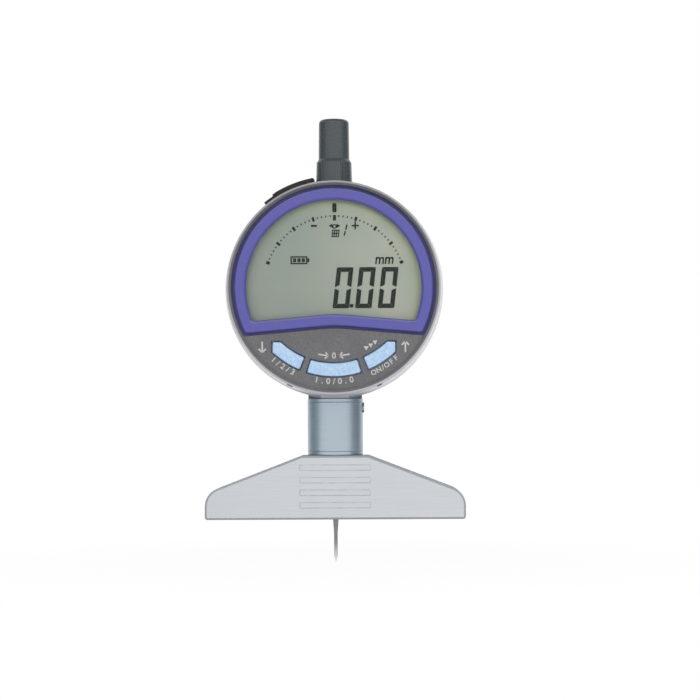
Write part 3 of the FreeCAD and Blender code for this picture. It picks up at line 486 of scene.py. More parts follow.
def ground_base():
    """Ground steel with long fine lines, darker lines along its edges and slots as painted shade, its bevels
    and sloped faces matt.
    """
    # The darker edge colour is painted shade that draws the edges and slots as lines.
    material = machined("ground_base", linear(214, 218, 223), linear(207, 211, 216), (90, 900, 5200), 0.36,
                        edge=linear(176, 179, 184), edge_width=0.00035)
    tree = material.node_tree
    _, along_y, along_z = facing(tree)
    aside = ramp(tree, sums(tree, "ABSOLUTE", along_y), 0.97, 0.85)
    above = ramp(tree, along_z, -0.95, -0.85)
    matt_share(material, sums(tree, "MULTIPLY", aside, above), linear(180, 183, 188), 0.1)
    return material


def silver_body():
    """Turned case: a painted highlight round its front edge, matt bevels, satin side, and painted shade,
    darker and bluish, at its foot and in its corners beside the sleeve.
    """
    material = turned_metal("silver_body", linear(206, 208, 212), linear(192, 194, 199), 2400.0, 0.3,
                            0.000003)
    tree = material.node_tree
    shader = tree.nodes["Principled BSDF"]
    rings = rings_of(tree)
    _, along_y, _ = facing(tree)
    # Near-white round the front edge: a painted highlight for the white it reflects.
    front_highlight = sums(tree, "MULTIPLY", ramp(tree, rings["Depth"], front_edge_y + 0.0002, front_edge_y),
                      ramp(tree, along_y, -0.02, -0.2))
    shade = blend_colour(tree, front_highlight, colour_so_far(shader), linear(248, 249, 251))
    # Darker and bluish at the foot next to the sleeve: painted shade under the case.
    foot_shade = ramp(tree, rings["Height"], -0.0282, -0.0312)
    shade = blend_colour(tree, foot_shade, shade, linear(168, 171, 179))
    # Dark teal in the corners beside the sleeve: painted shade.
    corner_start = case_radius + foot_corner_margin
    corner_shade = ramp(tree, rings["Radius"], corner_start, corner_start + 0.0003)
    shade = blend_colour(tree, corner_shade, shade, linear(106, 118, 127))
    tree.links.new(shade, shader.inputs["Base Color"])
    front = sums(tree, "ABSOLUTE", along_y)
    aside = sums(tree, "MULTIPLY", ramp(tree, front, 0.05, 0.22, 0.7, 1.0), ramp(tree, front, 0.97, 0.85))
    # The bevels take the same painted highlight at the front edge and painted shade at the foot and in the
    # corners.
    bevel_shade = blend_colour(tree, front_highlight, linear(214, 216, 220), linear(253, 253, 254))
    bevel_shade = blend_colour(tree, foot_shade, bevel_shade, linear(153, 160, 168))
    bevel_shade = blend_colour(tree, corner_shade, bevel_shade, linear(106, 118, 127))
    matt_share(material, aside, bevel_shade)
    return material


def head_paint():
    """Grey textured paint on panel and rim, a navy recess round frame and keys partly painted as shade, a
    bright cut outer edge, rim and edge darkened towards the top as painted shade.
    """
    material, tree, shader = new_material("head_paint")
    rings = rings_of(tree, 6000.0)
    radius = rings["Radius"]
    grain = use(tree, speckle, "Grain", Fineness=2600.0)
    clouds = use(tree, handling_patches, "Patches", Size=110.0)
    paint = blend_colour(tree, ramp(tree, grain, 0.35, 0.65), linear(102, 102, 103), linear(125, 124, 125))
    paint = blend_colour(tree, sums(tree, "MULTIPLY", clouds, 0.5), paint, linear(98, 99, 103))
    rim = ramp(tree, radius, rim_inner_radius, rim_inner_radius + 0.0003)
    # Rim and cut edge darker towards the top: painted shade for the dark they reflect above.
    top_shade = ramp(tree, rings["Height"], 0.0, rim_inner_radius)
    rim_paint = blend_colour(tree, top_shade, linear(106, 105, 112), linear(80, 78, 92))
    paint = blend_colour(tree, sums(tree, "MULTIPLY", rim, 0.7), paint, rim_paint)
    # Navy in the recess round frame and keys: a navy tint, and painted shade in those gaps.
    recess_shade = ramp(tree, rings["Depth"], panel_face + 0.00005, panel_face + 0.00025)
    behind = ramp(tree, radius, rim_inner_radius + 0.0002, rim_inner_radius - 0.0002)
    shade = blend_colour(tree, sums(tree, "MULTIPLY", recess_shade, behind), paint, linear(95, 93, 152))
    cut_start = head_radius - edge_cut_width
    cut = ramp(tree, radius, cut_start - 0.00005, cut_start + 0.00012)
    metal = blend_colour(tree, ramp(tree, rings["Lines"], 0.3, 0.7), linear(196, 197, 201),
                         linear(222, 223, 226))
    # The cut edge takes the same painted shade towards the top.
    metal = blend_colour(tree, sums(tree, "MULTIPLY", top_shade, 0.6), metal, linear(150, 151, 154))
    shade = blend_colour(tree, cut, shade, metal)
    tree.links.new(shade, shader.inputs["Base Color"])
    tree.links.new(sums(tree, "MULTIPLY", cut, 0.3), shader.inputs["Metallic"])
    shader.inputs["Roughness"].default_value = 0.55
    height = sums(tree, "MULTIPLY", grain, ramp(tree, cut, 0.0, 1.0, 1.0, 0.1))
    tree.links.new(bumped(tree, height, 0.00002), shader.inputs["Normal"])
    return material


def frame_violet():
    """Violet frame with a satin face, painted shade down in the recess and painted light where its bevels
    look up.
    """
    material, tree, shader = new_material("violet_frame")
    rings = rings_of(tree)
    grain = use(tree, speckle, "Grain", Fineness=3500.0)
    shade = blend_colour(tree, ramp(tree, grain, 0.3, 0.7), linear(92, 91, 169), linear(101, 100, 178))
    # Darker down in the recess: painted shade.
    recess_shade = ramp(tree, rings["Depth"], panel_face - 0.0003, panel_face + 0.0001)
    shade = blend_colour(tree, recess_shade, shade, linear(76, 74, 138))
    _, _, along_z = facing(tree)
    # Paler where the bevels look up: painted light.
    lit = sums(tree, "MULTIPLY", ramp(tree, along_z, 0.2, 0.6), ramp(tree, recess_shade, 1.0, 0.0, 0.0, 0.8))
    shade = blend_colour(tree, lit, shade, linear(126, 130, 160))
    # Paler along its edges.
    pale_edge = use(tree, edge_wear_and_shade, "Mask", Width=0.00015)
    shade = blend_colour(tree, sums(tree, "MULTIPLY", pale_edge, 0.35), shade, linear(140, 139, 205))
    tree.links.new(shade, shader.inputs["Base Color"])
    tree.links.new(ramp(tree, grain, 0.3, 0.7, 0.42, 0.52), shader.inputs["Roughness"])
    tree.links.new(bumped(tree, grain, 0.000008), shader.inputs["Normal"])
    return material


def window_clear():
    """Clear window that lets the lamps through."""
    material, tree, shader = new_material("clear_window")
    haze = use(tree, handling_patches, "Patches", Size=90.0)
    shade = blend_colour(tree, haze, (1, 1, 1, 1), (0.975, 0.985, 0.975, 1))
    tree.links.new(shade, shader.inputs["Base Color"])
    tree.links.new(ramp(tree, haze, 0.0, 1.0, 0.0, 0.03), shader.inputs["Roughness"])
    shader.inputs["Transmission Weight"].default_value = 1.0
    shader.inputs["IOR"].default_value = 1.15
    path = node(tree, "LightPath")
    through = sums(tree, "MAXIMUM", path.outputs["Is Shadow Ray"], path.outputs["Is Diffuse Ray"])
    open_pane = node(tree, "BsdfTransparent", {"Color": (1, 1, 1, 1)})
    mix = node(tree, "MixShader", {0: through, 1: shader.outputs[0], 2: open_pane.outputs[0]})
    tree.links.new(mix.outputs[0], tree.nodes["Material Output"].inputs["Surface"])
    return material


def lcd_glass():
    """Reflecting display: grey-green, paler to the right and yellow-green towards its edge, with a painted
    shadow of the frame along its left edge.
    """
    material, tree, shader = new_material("lcd_glass")
    rings = rings_of(tree)
    place = node(tree, "TexCoord").outputs["Object"]
    across = node(tree, "SeparateXYZ", {0: place}).outputs[0]
    shade = blend_colour(tree, ramp(tree, across, -0.016, 0.018), linear(155, 163, 153),
                         linear(181, 185, 171))
    cloud = use(tree, handling_patches, "Patches", Size=120.0)
    shade = blend_colour(tree, sums(tree, "MULTIPLY", cloud, 0.25), shade, linear(150, 166, 160))
    # Towards the edge: grey at the left as painted shadow of the frame, yellow-green at the right.
    edge = ramp(tree, rings["Radius"], 0.0208, 0.025)
    edge_side = ramp(tree, across, -0.02, 0.0)
    edge_shade = blend_colour(tree, edge_side, linear(138, 148, 138), linear(166, 178, 148))
    shade = blend_colour(tree, sums(tree, "MULTIPLY", edge, 0.7), shade, edge_shade)
    fine = use(tree, speckle, "Grain", Fineness=9000.0)
    shade = blend_colour(tree, sums(tree, "MULTIPLY", fine, 0.12), shade, linear(120, 128, 118))
    tree.links.new(shade, shader.inputs["Base Color"])
    tree.links.new(ramp(tree, fine, 0.3, 0.7, 0.4, 0.5), shader.inputs["Roughness"])
    shader.inputs["Specular IOR Level"].default_value = 0.2
    return material


def turned_metal(name, colour, dark, rings_a_metre, rough, bump):
    """Metal turned about the case's axis."""
    material, tree, shader = new_material(name)
    lines = use(tree, turned_rings, "Lines", Rings=rings_a_metre)
    patches = use(tree, handling_patches, "Patches")
    shade = blend_colour(tree, ramp(tree, lines, 0.3, 0.7), dark, colour)
    shade = blend_colour(tree, use(tree, edge_wear_and_shade, "Mask", Width=0.00025), shade, linear(226, 228, 232))
    tree.links.new(shade, shader.inputs["Base Color"])
    gloss = sums(tree, "ADD", ramp(tree, lines, 0.25, 0.75, rough - 0.06, rough + 0.06),
                 ramp(tree, patches, 0.0, 1.0, -0.03, 0.04))
    tree.links.new(gloss, shader.inputs["Roughness"])
    tree.links.new(bumped(tree, lines, bump), shader.inputs["Normal"])
    shader.inputs["Metallic"].default_value = 1.0
    return material


def graded_needle():
    """Hardened steel, brighter towards the needle's point."""
    material = machined("hardened_needle", linear(150, 150, 153), linear(122, 122, 126), (400, 400, 6000),
                        0.3)
    tree = material.node_tree
    shader = tree.nodes["Principled BSDF"]
    height = node(tree, "SeparateXYZ", {0: node(tree, "TexCoord").outputs["Object"]}).outputs[2]
    toward_point = ramp(tree, height, -0.0055, -0.0125)
    shade = blend_colour(tree, toward_point, colour_so_far(shader), linear(224, 224, 226))
    tree.links.new(shade, shader.inputs["Base Color"])
    return material


finishes = {
    "base_steel": ground_base(),
    "sleeve_steel": machined("turned_sleeve", linear(186, 200, 210), linear(178, 192, 202),
                             (120, 120, 5200), 0.4, edge=linear(205, 216, 224), bump=0.000002),
    "screw_steel": machined("plated_screws", linear(176, 178, 182), linear(150, 152, 156),
                            (900, 900, 900), 0.28, edge=linear(225, 226, 228), edge_width=0.0001),
    "inner_steel": machined("bright_steel", linear(205, 206, 208), linear(184, 185, 188),
                            (700, 700, 4000), 0.22),
    "needle_steel": graded_needle(),
    "brass": machined("turned_brass", linear(214, 186, 122), linear(192, 160, 96), (300, 300, 5000), 0.3),
    "body_silver": silver_body(),
    "head_grey": head_paint(),
    "frame_violet": frame_violet(),
    "window_clear": window_clear(),
    "lcd_green": lcd_glass(),
    "white_plastic": moulded("white_plastic", linear(214, 214, 210), linear(226, 226, 222), 2500.0, 0.5),
    "button_blue": moulded("blue_keys", linear(172, 207, 246), linear(208, 232, 255), 1500.0, 0.5,
                           edge=linear(212, 234, 252), edge_width=0.00025),
    "board_green": moulded("board_lacquer", linear(28, 92, 58), linear(36, 110, 68), 1200.0, 0.35),
    "chip_black": moulded("chip_plastic", linear(34, 34, 36), linear(46, 46, 48), 3000.0, 0.55),
    "cap_black": moulded("cap_plastic", linear(74, 80, 83), linear(76, 82, 85), 2200.0, 0.3, bump=0.000001,
                         edge=linear(88, 93, 93), edge_width=0.0002),
    "lid_rubber": moulded("lid_rubber", linear(44, 38, 38), linear(58, 52, 51), 2200.0, 0.7,
                          edge=linear(84, 78, 76)),
    "seal_rubber": moulded("seal_rubber", linear(30, 30, 31), linear(42, 42, 43), 2000.0, 0.75),
    "cell_steel": machined("cell_can", linear(210, 210, 208), linear(196, 196, 194), (600, 600, 600), 0.25),
    "contact_gold": machined("gold_plating", linear(226, 192, 112), linear(210, 174, 92),
                             (800, 800, 800), 0.25),
}
lcd_ink = moulded("lcd_ink", linear(36, 44, 39), linear(44, 52, 47), 5000.0, 0.5, bump=0.0, shine=0.1)
white_print = moulded("white_print", linear(200, 200, 198), linear(216, 216, 213), 6000.0, 0.6, bump=0.0)
blackened = machined("blackened_pin", linear(58, 54, 54), linear(44, 41, 41), (900, 900, 900), 0.4)

dark_nodes = ("port_hinge_pin", "head_screws")

for part in frame["record"]["subparts"]:
    held = nodes[part["node"]].data.materials
    held.clear()
    held.append(blackened if part["node"] in dark_nodes else finishes[part["material_slot"]])


# Display: three slanted noughts, the moving scale and its signs

digit_height = 0.0117
digit_width = 0.00473
digit_stroke = 0.0013
digit_corner = digit_stroke * 0.12
inner_cut = digit_stroke * 0.45
corner_gap = 0.00002
middle_gap = 0.00016
digit_slant = 6.5
digit_places = (0.00264, 0.00905, 0.01551)
digit_middle = -0.00005
point_length, point_width = 0.0011, 0.0010
point_x, point_y = 0.00504, -0.0052


def segment(length, start_cut, end_cut):
    """Display segment along X, its outer side towards +Y, its ends cut back on the inner side."""
    deselect()
    bpy.ops.mesh.primitive_plane_add(size=1)
    bar = bpy.context.object
    edit_mode()
    bpy.ops.mesh.select_all(action="SELECT")
    bpy.ops.transform.resize(value=(length, digit_stroke, 1))
    object_mode()
    pick(bar, lambda co: co.y < 0 and co.x < 0)
    bpy.ops.transform.translate(value=(start_cut, 0, 0))
    object_mode()
    pick(bar, lambda co: co.y < 0 and co.x > 0)
    bpy.ops.transform.translate(value=(-end_cut, 0, 0))
    object_mode()
    pick(bar, lambda co: co.y > 0)
    bpy.ops.mesh.bevel(offset=digit_corner, affect="VERTICES", segments=1)
    bpy.ops.mesh.select_all(action="SELECT")
    bpy.ops.mesh.extrude_region_move(TRANSFORM_OT_translate={"value": (0, 0, lcd_mark_height)})
    object_mode()
    normals_out(bar)
    return bar


def nought():
    """Nought made of six segments."""
    half_height, half_width = digit_height / 2, digit_width / 2
    across = digit_width - 2 * corner_gap
    upright = half_height - corner_gap - middle_gap
    middle = (half_height - corner_gap + middle_gap) / 2
    inset = digit_stroke / 2
    parts = []
    for side in (1, -1):
        cap = segment(across, digit_stroke, digit_stroke)
        parts.append(moved(cap, 0, side * (half_height - inset), 0 if side > 0 else 180))
    for side in (1, -1):
        for up in (1, -1):
            cuts = (digit_stroke, inner_cut) if side * up > 0 else (inner_cut, digit_stroke)
            bar = segment(upright, *cuts)
            parts.append(moved(bar, side * (half_width - inset), up * middle, -90 * side))
    return joined("nought", parts)


def display_digits():
    first = nought()
    marks = [copy_of(first) for _ in digit_places[1:]] + [first]
    for mark, x in zip(marks, digit_places):
        moved(mark, x, digit_middle, 0, digit_slant)
    point = flat_bar(point_length, point_width, wide_corner, lcd_mark_height)
    marks.append(moved(point, point_x, point_y, 0, digit_slant))
    return laid(joined("lcd_digits", marks), lcd_face)


scale_radius = 0.0203
scale_x = 0.0003
scale_drop = -0.0002
scale_step = 17.45
scale_ends = 4
dots_between = 4
tick_length, tick_width = 0.0007, 0.0013
end_mark_length, end_mark_width = 0.0009, 0.0011
dot_length, dot_width = 0.00038, 0.00050
# Pointer: length, width, corner and height above the middle of its two bars
pointer_bars = ((0.0012, 0.0026, wide_corner, 0.02285), (0.0009, 0.0016, mark_corner, 0.0200))


def display_scale():
    """Arc of ticks and dots with the pointer bar at its top."""
    tick = flat_bar(tick_length, tick_width, mark_corner, lcd_mark_height)
    end_mark = flat_bar(end_mark_length, end_mark_width, wide_corner, lcd_mark_height)
    dot = flat_bar(dot_length, dot_width, mark_corner, lcd_mark_height)
    marks = []
    for index in range(-scale_ends, scale_ends + 1):
        if index:
            mark = copy_of(end_mark if abs(index) == scale_ends else tick)
            marks.append(around_top(mark, scale_radius, index * scale_step, scale_drop))
    parts_a_step = dots_between + 1
    for index in range(-scale_ends * parts_a_step, scale_ends * parts_a_step):
        if index % parts_a_step:
            angle = index * scale_step / parts_a_step
            marks.append(around_top(copy_of(dot), scale_radius, angle, scale_drop))
    for length, width, corner, y in pointer_bars:
        marks.append(moved(flat_bar(length, width, corner, lcd_mark_height), 0, y))
    for pattern in (tick, end_mark, dot):
        bpy.data.objects.remove(pattern)
    return laid(moved(joined("lcd_scale", marks), scale_x, 0), lcd_face)


sign_y = 0.0177
minus_x, plus_x = -0.0056, 0.0062
minus_length, plus_length = 0.0017, 0.0021
minus_stroke, plus_stroke = 0.0006, 0.00046
wedge_length, wedge_width, wedge_out = 0.0011, 0.0012, 0.00115
ring_size, ring_bold = 0.0026, 0.00006
grid_x, grid_y = 0.0006, 0.0155
grid_width, grid_height, grid_stroke = 0.0022, 0.0018, 0.0003
grid_columns = (-0.0009, -0.0003, 0.0003, 0.0009)
grid_rows = (-0.0009, 0.0, 0.0009)
grid_lean = 0.1
stroke_slant = 14
# Slanted stroke beside the grid: width, length, x and y of its two halves
stroke_halves = ((0.00042, 0.0015, 0.0037, 0.0173), (0.00042, 0.0014, 0.0032, 0.0155))
unit_size, unit_slant, unit_bold, unit_narrow = 0.0041, 0.16, 0.00009, 0.86
unit_x, unit_y = 0.0144, 0.0080
level_x, level_y = -0.0099, 0.0079
level_length, level_height, level_stroke = 0.0048, 0.0022, 0.00038
level_out, level_up = 0.00222, 0.00095
stud_length, stud_width, stud_out = 0.0005, 0.0011, 0.0027
level_bar_length, level_bar_width, level_bar_pitch = 0.0009, 0.0011, 0.00125


def display_signs():
    """Minus, plus, centre mark, unit and two small signs."""
    high = lcd_mark_height
    marks = [moved(flat_bar(minus_length, minus_stroke, mark_corner, high), minus_x, sign_y)]
    marks.append(moved(flat_bar(plus_length, plus_stroke, mark_corner, high), plus_x, sign_y))
    marks.append(moved(flat_bar(plus_stroke, plus_length, mark_corner, crossing_height), plus_x, sign_y))
    for side, turn in ((1, 0), (-1, 180)):
        wedge = flat_wedge(wedge_length, wedge_width, high)
        marks.append(moved(wedge, scale_x + side * wedge_out, sign_y, turn))
    marks.append(moved(letters("o", ring_size, crossing_height, bold=ring_bold), scale_x, sign_y))
    for offset in grid_columns:
        column = flat_bar(grid_stroke, grid_height, fine_corner, crossing_height)
        marks.append(moved(column, grid_x + offset, grid_y, 0, digit_slant))
    for offset in grid_rows:
        row = flat_bar(grid_width, grid_stroke, fine_corner, high)
        marks.append(moved(row, grid_x + offset * grid_lean, grid_y + offset))
    for width, length, x, y in stroke_halves:
        marks.append(moved(flat_bar(width, length, mark_corner, high), x, y, 0, stroke_slant))
    unit = letters("mm", unit_size, high, unit_slant, unit_bold)
    unit.data.transform(Matrix.Diagonal((unit_narrow, 1, 1, 1)))
    marks.append(moved(unit, unit_x, unit_y))
    return laid(joined("lcd_signs", marks + level_sign(level_x, level_y)), lcd_face)


def level_sign(x, y):
    """Small sign for the cell's charge: an outline, its stud and three bars."""
    high = lcd_mark_height
    parts = []
    for side in (-1, 1):
        rail = flat_bar(level_length, level_stroke, fine_corner, high)
        parts.append(moved(rail, x, y + side * level_up))
        post = flat_bar(level_stroke, level_height, fine_corner, crossing_height)
        parts.append(moved(post, x + side * level_out, y))
    parts.append(moved(flat_bar(stud_length, stud_width, fine_corner, high), x + stud_out, y))
    for index in (-1, 0, 1):
        bar = flat_bar(level_bar_length, level_bar_width, mark_corner, high)
        parts.append(moved(bar, x + index * level_bar_pitch, y))
    return parts


finished(display_digits(), "display_head", lcd_ink)
finished(display_scale(), "display_head", lcd_ink)
finished(display_signs(), "display_head", lcd_ink)


# Prints on the panel: arrows and plain signs round the keys

corner_share = 0.3
narrow_share = 0.62
side_arrow_length, side_arrow_width, side_arrow_stroke = 0.0031, 0.0021, 0.00044
# Left and right arrow: x, y and turn
side_arrow_places = ((-0.0204, -0.0169, -90), (0.0203, -0.0170, 90))
upper_radius = 0.0195
lower_radius = 0.0268
zero_size = 0.0024
small_arrow_length, small_arrow_width, small_arrow_stroke = 0.0029, 0.0018, 0.0004
small_arrow_angle = 9.0
# Signs under the keys: text, size, angle of the middle and angle a sign
lower_signs = (("1.0/0.0", 0.0024, 0, 4.4), ("1/2/3", 0.0023, -33.0, 4.3), ("ON/OFF", 0.0020, 33.0, 3.5))
triangle_length, triangle_width = 0.0012, 0.0014
triangle_angle, triangle_step = 33.0, 4.4


def arrow(length, width, stroke, height):
    """Arrow along +X: a shaft and two barbs."""
    parts = [flat_bar(length, stroke, stroke * corner_share, height)]
    barb = math.hypot(width / 2, width / 2)
    for side in (-1, 1):
        mark = flat_bar(barb, stroke, stroke * corner_share, height)
        parts.append(moved(mark, length / 2 - width / 4, side * width / 4, -45 * side))
    return joined("arrow", parts)


def arc_letters(text, size, radius, middle, step, narrow="/."):
    """Signs along an arc under the keys; step is the angle between two wide signs."""
    widths = [narrow_share if letter in narrow else 1.0 for letter in text]
    total = sum(widths) - (widths[0] + widths[-1]) / 2
    angle = middle - total * step / 2
    parts = []
    for index, letter in enumerate(text):
        if index:
            angle += (widths[index - 1] + widths[index]) / 2 * step
        parts.append(around(letters(letter, size, mark_height, bold=print_bold), radius, angle))
    return parts


def turned_half(piece):
    """A flat mark turned to point the other way."""
    piece.data.transform(Matrix.Rotation(math.pi, 4, "Z"))
    return piece


def small_arrow():
    return arrow(small_arrow_length, small_arrow_width, small_arrow_stroke, mark_height)


def panel_prints():
    high = mark_height
    parts = []
    for x, y, turn in side_arrow_places:
        parts.append(moved(arrow(side_arrow_length, side_arrow_width, side_arrow_stroke, high), x, y, turn))
    parts.append(around(letters("0", zero_size, high, bold=print_bold), upper_radius, 0))
    parts.append(around(small_arrow(), upper_radius, -small_arrow_angle))
    parts.append(around(turned_half(small_arrow()), upper_radius, small_arrow_angle))
    for signs, size, middle, step in lower_signs:
        parts += arc_letters(signs, size, lower_radius, middle, step)
    for index in (-1, 0, 1):
        triangle = flat_wedge(triangle_length, triangle_width, high)
        parts.append(around(triangle, upper_radius, triangle_angle + index * triangle_step))
    return laid(joined("panel_prints", parts), panel_face, mark_depth / 2)


finished(panel_prints(), "display_head", white_print)


# Rear cover screws with cross recesses

screw_head_radius = 0.0019
screw_head_height = 0.0010
screw_shank_radius = 0.0010
screw_length = 0.0046
recess_length = 0.0026
recess_width = 0.00055
recess_depth = 0.0008
recess_foot_shares = (0.35, 0.7, 1)
screw_tip_share = 0.8
screw_edge = 0.00006
edge_angle = math.radians(50)
smooth_angle = math.radians(35)
first_turn, turn_step = 23, 31


def cross_blade(turn):
    """Tapered blade that cuts one arm of the recess."""
    deselect()
    bpy.ops.mesh.primitive_cube_add(size=1)
    blade = bpy.context.object
    edit_mode()
    bpy.ops.mesh.select_all(action="SELECT")
    bpy.ops.transform.resize(value=(recess_length, recess_width, 2 * recess_depth))
    object_mode()
    pick(blade, lambda co: co.z < 0)
    bpy.ops.transform.resize(value=recess_foot_shares, center_override=(0, 0, -recess_depth))
    object_mode()
    blade.data.transform(Matrix.Rotation(turn, 4, "Z"))
    return blade


def cover_screw():
    """Countersunk screw with its head's face at the origin, pointing down."""
    deselect()
    bpy.ops.mesh.primitive_cylinder_add(vertices=40, radius=screw_head_radius, depth=screw_head_height,
                                        location=(0, 0, -screw_head_height / 2))
    screw = settle(bpy.context.object)
    taper = screw_shank_radius / screw_head_radius
    pick(screw, lambda co: co.z < -screw_head_height / 2)
    bpy.ops.transform.resize(value=(taper, taper, 1), center_override=(0, 0, -screw_head_height))
    shank = (0, 0, screw_head_height - screw_length)
    bpy.ops.mesh.extrude_region_move(TRANSFORM_OT_translate={"value": shank})
    tip_shares = (screw_tip_share, screw_tip_share, 1)
    bpy.ops.transform.resize(value=tip_shares, center_override=(0, 0, -screw_length))
    object_mode()
    for turn in (0, math.pi / 2):
        blade = cross_blade(turn)
        cut = screw.modifiers.new("recess", "BOOLEAN")
        cut.object = blade
        cut.operation = "DIFFERENCE"
        apply_modifiers(screw)
        bpy.data.objects.remove(blade)
    soften = screw.modifiers.new("edges", "BEVEL")
    soften.width = screw_edge
    soften.segments = 2
    soften.limit_method = "ANGLE"
    soften.angle_limit = edge_angle
    apply_modifiers(screw)
    bpy.ops.object.shade_smooth_by_angle(angle=smooth_angle)
    return screw


def cover_screws():
    """The rear cover's four screws, each turned a little differently."""
    low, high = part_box("rear_cover_screws")
    out_x, out_z = high.x - screw_head_radius, high.z - screw_head_radius - case_z
    model = cover_screw()
    screws = []
    for index, (side, up) in enumerate(((1, 1), (1, -1), (-1, 1), (-1, -1))):
        screw = copy_of(model)
        place = Matrix.Translation((case_x + side * out_x, cover_face, case_z + up * out_z))
        face_back = Matrix.Rotation(math.radians(-90), 4, "X")
        turn = Matrix.Rotation(math.radians(first_turn + turn_step * index), 4, "Z")
        screw.data.transform(place @ face_back @ turn)
        screws.append(screw)
    bpy.data.objects.remove(model)
    return joined("cross_recess_screws", screws)


screws = finished(cover_screws(), "instrument", finishes["screw_steel"])
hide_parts("rear_cover_screws")


# Return spring of fine round wire, its end turns closed

spring_wire = 0.0003
spring_turns = 16
points_a_turn = 20
end_turn_rise = 0.00034
wire_smooth_angle = math.radians(60)


def spring_height(turn, length):
    """How high the wire has risen after some turns."""
    if turn < 1:
        return turn * end_turn_rise
    if turn > spring_turns - 1:
        return length - (spring_turns - turn) * end_turn_rise
    return end_turn_rise + (turn - 1) / (spring_turns - 2) * (length - 2 * end_turn_rise)


def fine_spring():
    low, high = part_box("return_spring")
    mean_radius = (high.x - low.x) / 2 - spring_wire / 2
    length = high.z - low.z - spring_wire
    coil = bpy.data.curves.new("coil", "CURVE")
    coil.dimensions = "3D"
    coil.bevel_depth = spring_wire / 2
    coil.bevel_resolution = 1
    coil.use_fill_caps = True
    wire = coil.splines.new("POLY")
    wire.points.add(spring_turns * points_a_turn)
    for index, point in enumerate(wire.points):
        turn = index / points_a_turn
        angle = 2 * math.pi * turn
        z = low.z + spring_wire / 2 + spring_height(turn, length)
        point.co = (mean_radius * math.cos(angle), mean_radius * math.sin(angle), z, 1)
    holder = bpy.data.objects.new("fine_return_spring", coil)
    bpy.context.scene.collection.objects.link(holder)
    only(holder)
    bpy.ops.object.convert(target="MESH")
    spring = bpy.context.object
    bpy.ops.object.shade_smooth_by_angle(angle=wire_smooth_angle)
    return spring


spring = finished(fine_spring(), "instrument", finishes["inner_steel"])
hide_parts("return_spring")
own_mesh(spring)


# Studio: camera, lamps, world, floor

camera_place = (0.012, -0.640, 0.030)
camera_aim = Vector((0.00438, 0.0, 0.04888))
camera_roll = -0.30
camera_lens, camera_sensor = 113.1, 36
object_middle = (0, 0, 0.05)
lamp_size = 0.6
# Lamps: name, place, power and whether glossy faces show it
lamps = (("key", (-0.20, -0.80, 0.55), 2.5, False), ("fill", (0.45, -0.75, 0.30), 2.0, False),
         ("top", (0.0, 0.10, 0.85), 1.4, True))
soft_light = 0.32
floor_size = 8
floor_drop = 0.00005
floor_shade = 0.93
near_reach, far_reach, near_white = 0.03, 0.16, 0.95
side_card_height = 0.5
side_card_shade = (0.235, 0.305, 0.34, 1)
top_card_length, top_card_width, top_card_rise = 0.5, 0.4, 0.38
top_card_shade = (0.06, 0.06, 0.07, 1)


def studio_camera():
    """Camera at the photograph's place, a little right of the spindle and turned a little."""
    data = bpy.data.cameras.new("camera")
    camera = bpy.data.objects.new("camera", data)
    bpy.context.scene.collection.objects.link(camera)
    camera.location = camera_place
    aim = camera_aim - camera.location
    tilt = Matrix.Rotation(math.radians(camera_roll), 3, "Z")
    camera.rotation_euler = (aim.to_track_quat("-Z", "Y").to_matrix() @ tilt).to_euler()
    data.lens = camera_lens
    data.sensor_width = camera_sensor
    bpy.context.scene.camera = camera


def lamp(name, place, power, highlight):
    """Square white lamp towards the object, with or without a highlight of its own on glossy faces."""
    data = bpy.data.lights.new(name, "AREA")
    data.shape = "SQUARE"
    data.size = lamp_size
    data.energy = power
    holder = bpy.data.objects.new(name, data)
    bpy.context.scene.collection.objects.link(holder)
    holder.location = place
    holder.rotation_euler = (Vector(object_middle) - Vector(place)).to_track_quat("-Z", "Y").to_euler()
    holder.visible_glossy = highlight


def studio_world():
    """White behind the object and in what it reflects, softer light on it."""
    world = bpy.data.worlds.new("studio")
    bpy.context.scene.world = world
    world.use_nodes = True
    tree = world.node_tree
    tree.nodes.clear()
    path = node(tree, "LightPath")
    seen = sums(tree, "MAXIMUM", path.outputs["Is Camera Ray"], path.outputs["Is Glossy Ray"])
    seen = sums(tree, "MAXIMUM", seen, path.outputs["Is Transmission Ray"])
    soft = node(tree, "Background", {"Color": (1, 1, 1, 1), "Strength": soft_light})
    white = node(tree, "Background", {"Color": (1, 1, 1, 1), "Strength": 1.0})
    mix = node(tree, "MixShader", {0: seen, 1: soft.outputs[0], 2: white.outputs[0]})
    out = node(tree, "OutputWorld")
    tree.links.new(mix.outputs[0], out.inputs["Surface"])


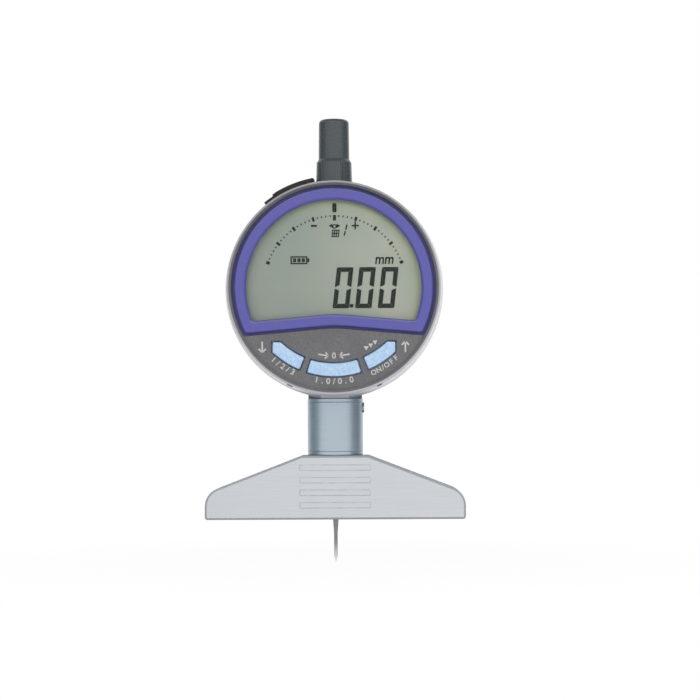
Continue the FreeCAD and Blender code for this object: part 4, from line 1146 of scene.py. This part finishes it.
def floor():
    """Pale floor under the needle's point, white where it runs into the background and in reflections."""
    deselect()
    bpy.ops.mesh.primitive_plane_add(size=floor_size, location=(0, 0, cad_box[0].z - floor_drop))
    ground = settle(bpy.context.object)
    ground.name = "floor"
    material, tree, shader = new_material("pale_floor")
    shader.inputs["Base Color"].default_value = (floor_shade, floor_shade, floor_shade, 1)
    shader.inputs["Roughness"].default_value = 0.9
    place = node(tree, "TexCoord").outputs["Object"]
    away = node(tree, "VectorMath", {0: place}, operation="LENGTH").outputs["Value"]
    path = node(tree, "LightPath")
    mirrored = sums(tree, "MAXIMUM", path.outputs["Is Glossy Ray"], path.outputs["Is Transmission Ray"])
    seen = sums(tree, "MAXIMUM", path.outputs["Is Camera Ray"], mirrored)
    share = sums(tree, "MULTIPLY", ramp(tree, away, near_reach, far_reach, near_white, 1.0), seen)
    white = node(tree, "Emission", {"Color": (1, 1, 1, 1), "Strength": 1.0})
    mix = node(tree, "MixShader", {0: share, 1: shader.outputs[0], 2: white.outputs[0]})
    tree.links.new(mix.outputs[0], tree.nodes["Material Output"].inputs["Surface"])
    ground.data.materials.append(material)


def grey_card(name, length, height, place, colour):
    """Card seen only in the object's reflections."""
    deselect()
    bpy.ops.mesh.primitive_plane_add(size=1)
    card = bpy.context.object
    card.name = name
    card.data.transform(place @ Matrix.Diagonal((length, height, 1, 1)))
    material, tree, shader = new_material(name)
    shader.inputs["Base Color"].default_value = colour
    shader.inputs["Roughness"].default_value = 1.0
    card.data.materials.append(material)
    card.visible_camera = False
    card.visible_diffuse = False
    card.visible_shadow = False
    card.visible_transmission = False


def studio_cards():
    """Grey cards beside the object and a dark one above it, which shade its round and bevelled edges."""
    for side, name in ((-1, "card_left"), (1, "card_right")):
        near, far = Vector((side * 0.33, -0.133, 0.04)), Vector((side * 0.26, 0.20, 0.04))
        along = far - near
        upright = Matrix.Rotation(math.radians(90), 4, "X")
        turn = Matrix.Rotation(math.atan2(along.y, along.x), 4, "Z") @ upright
        place = Matrix.Translation((near + far) / 2) @ turn
        grey_card(name, along.length, side_card_height, place, side_card_shade)
    place = Matrix.Translation((0, 0, top_card_rise))
    grey_card("card_above", top_card_length, top_card_width, place, top_card_shade)


studio_camera()
for values in lamps:
    lamp(*values)
studio_world()
floor()
studio_cards()
bpy.context.scene.view_settings.view_transform = "Standard"

deselect()
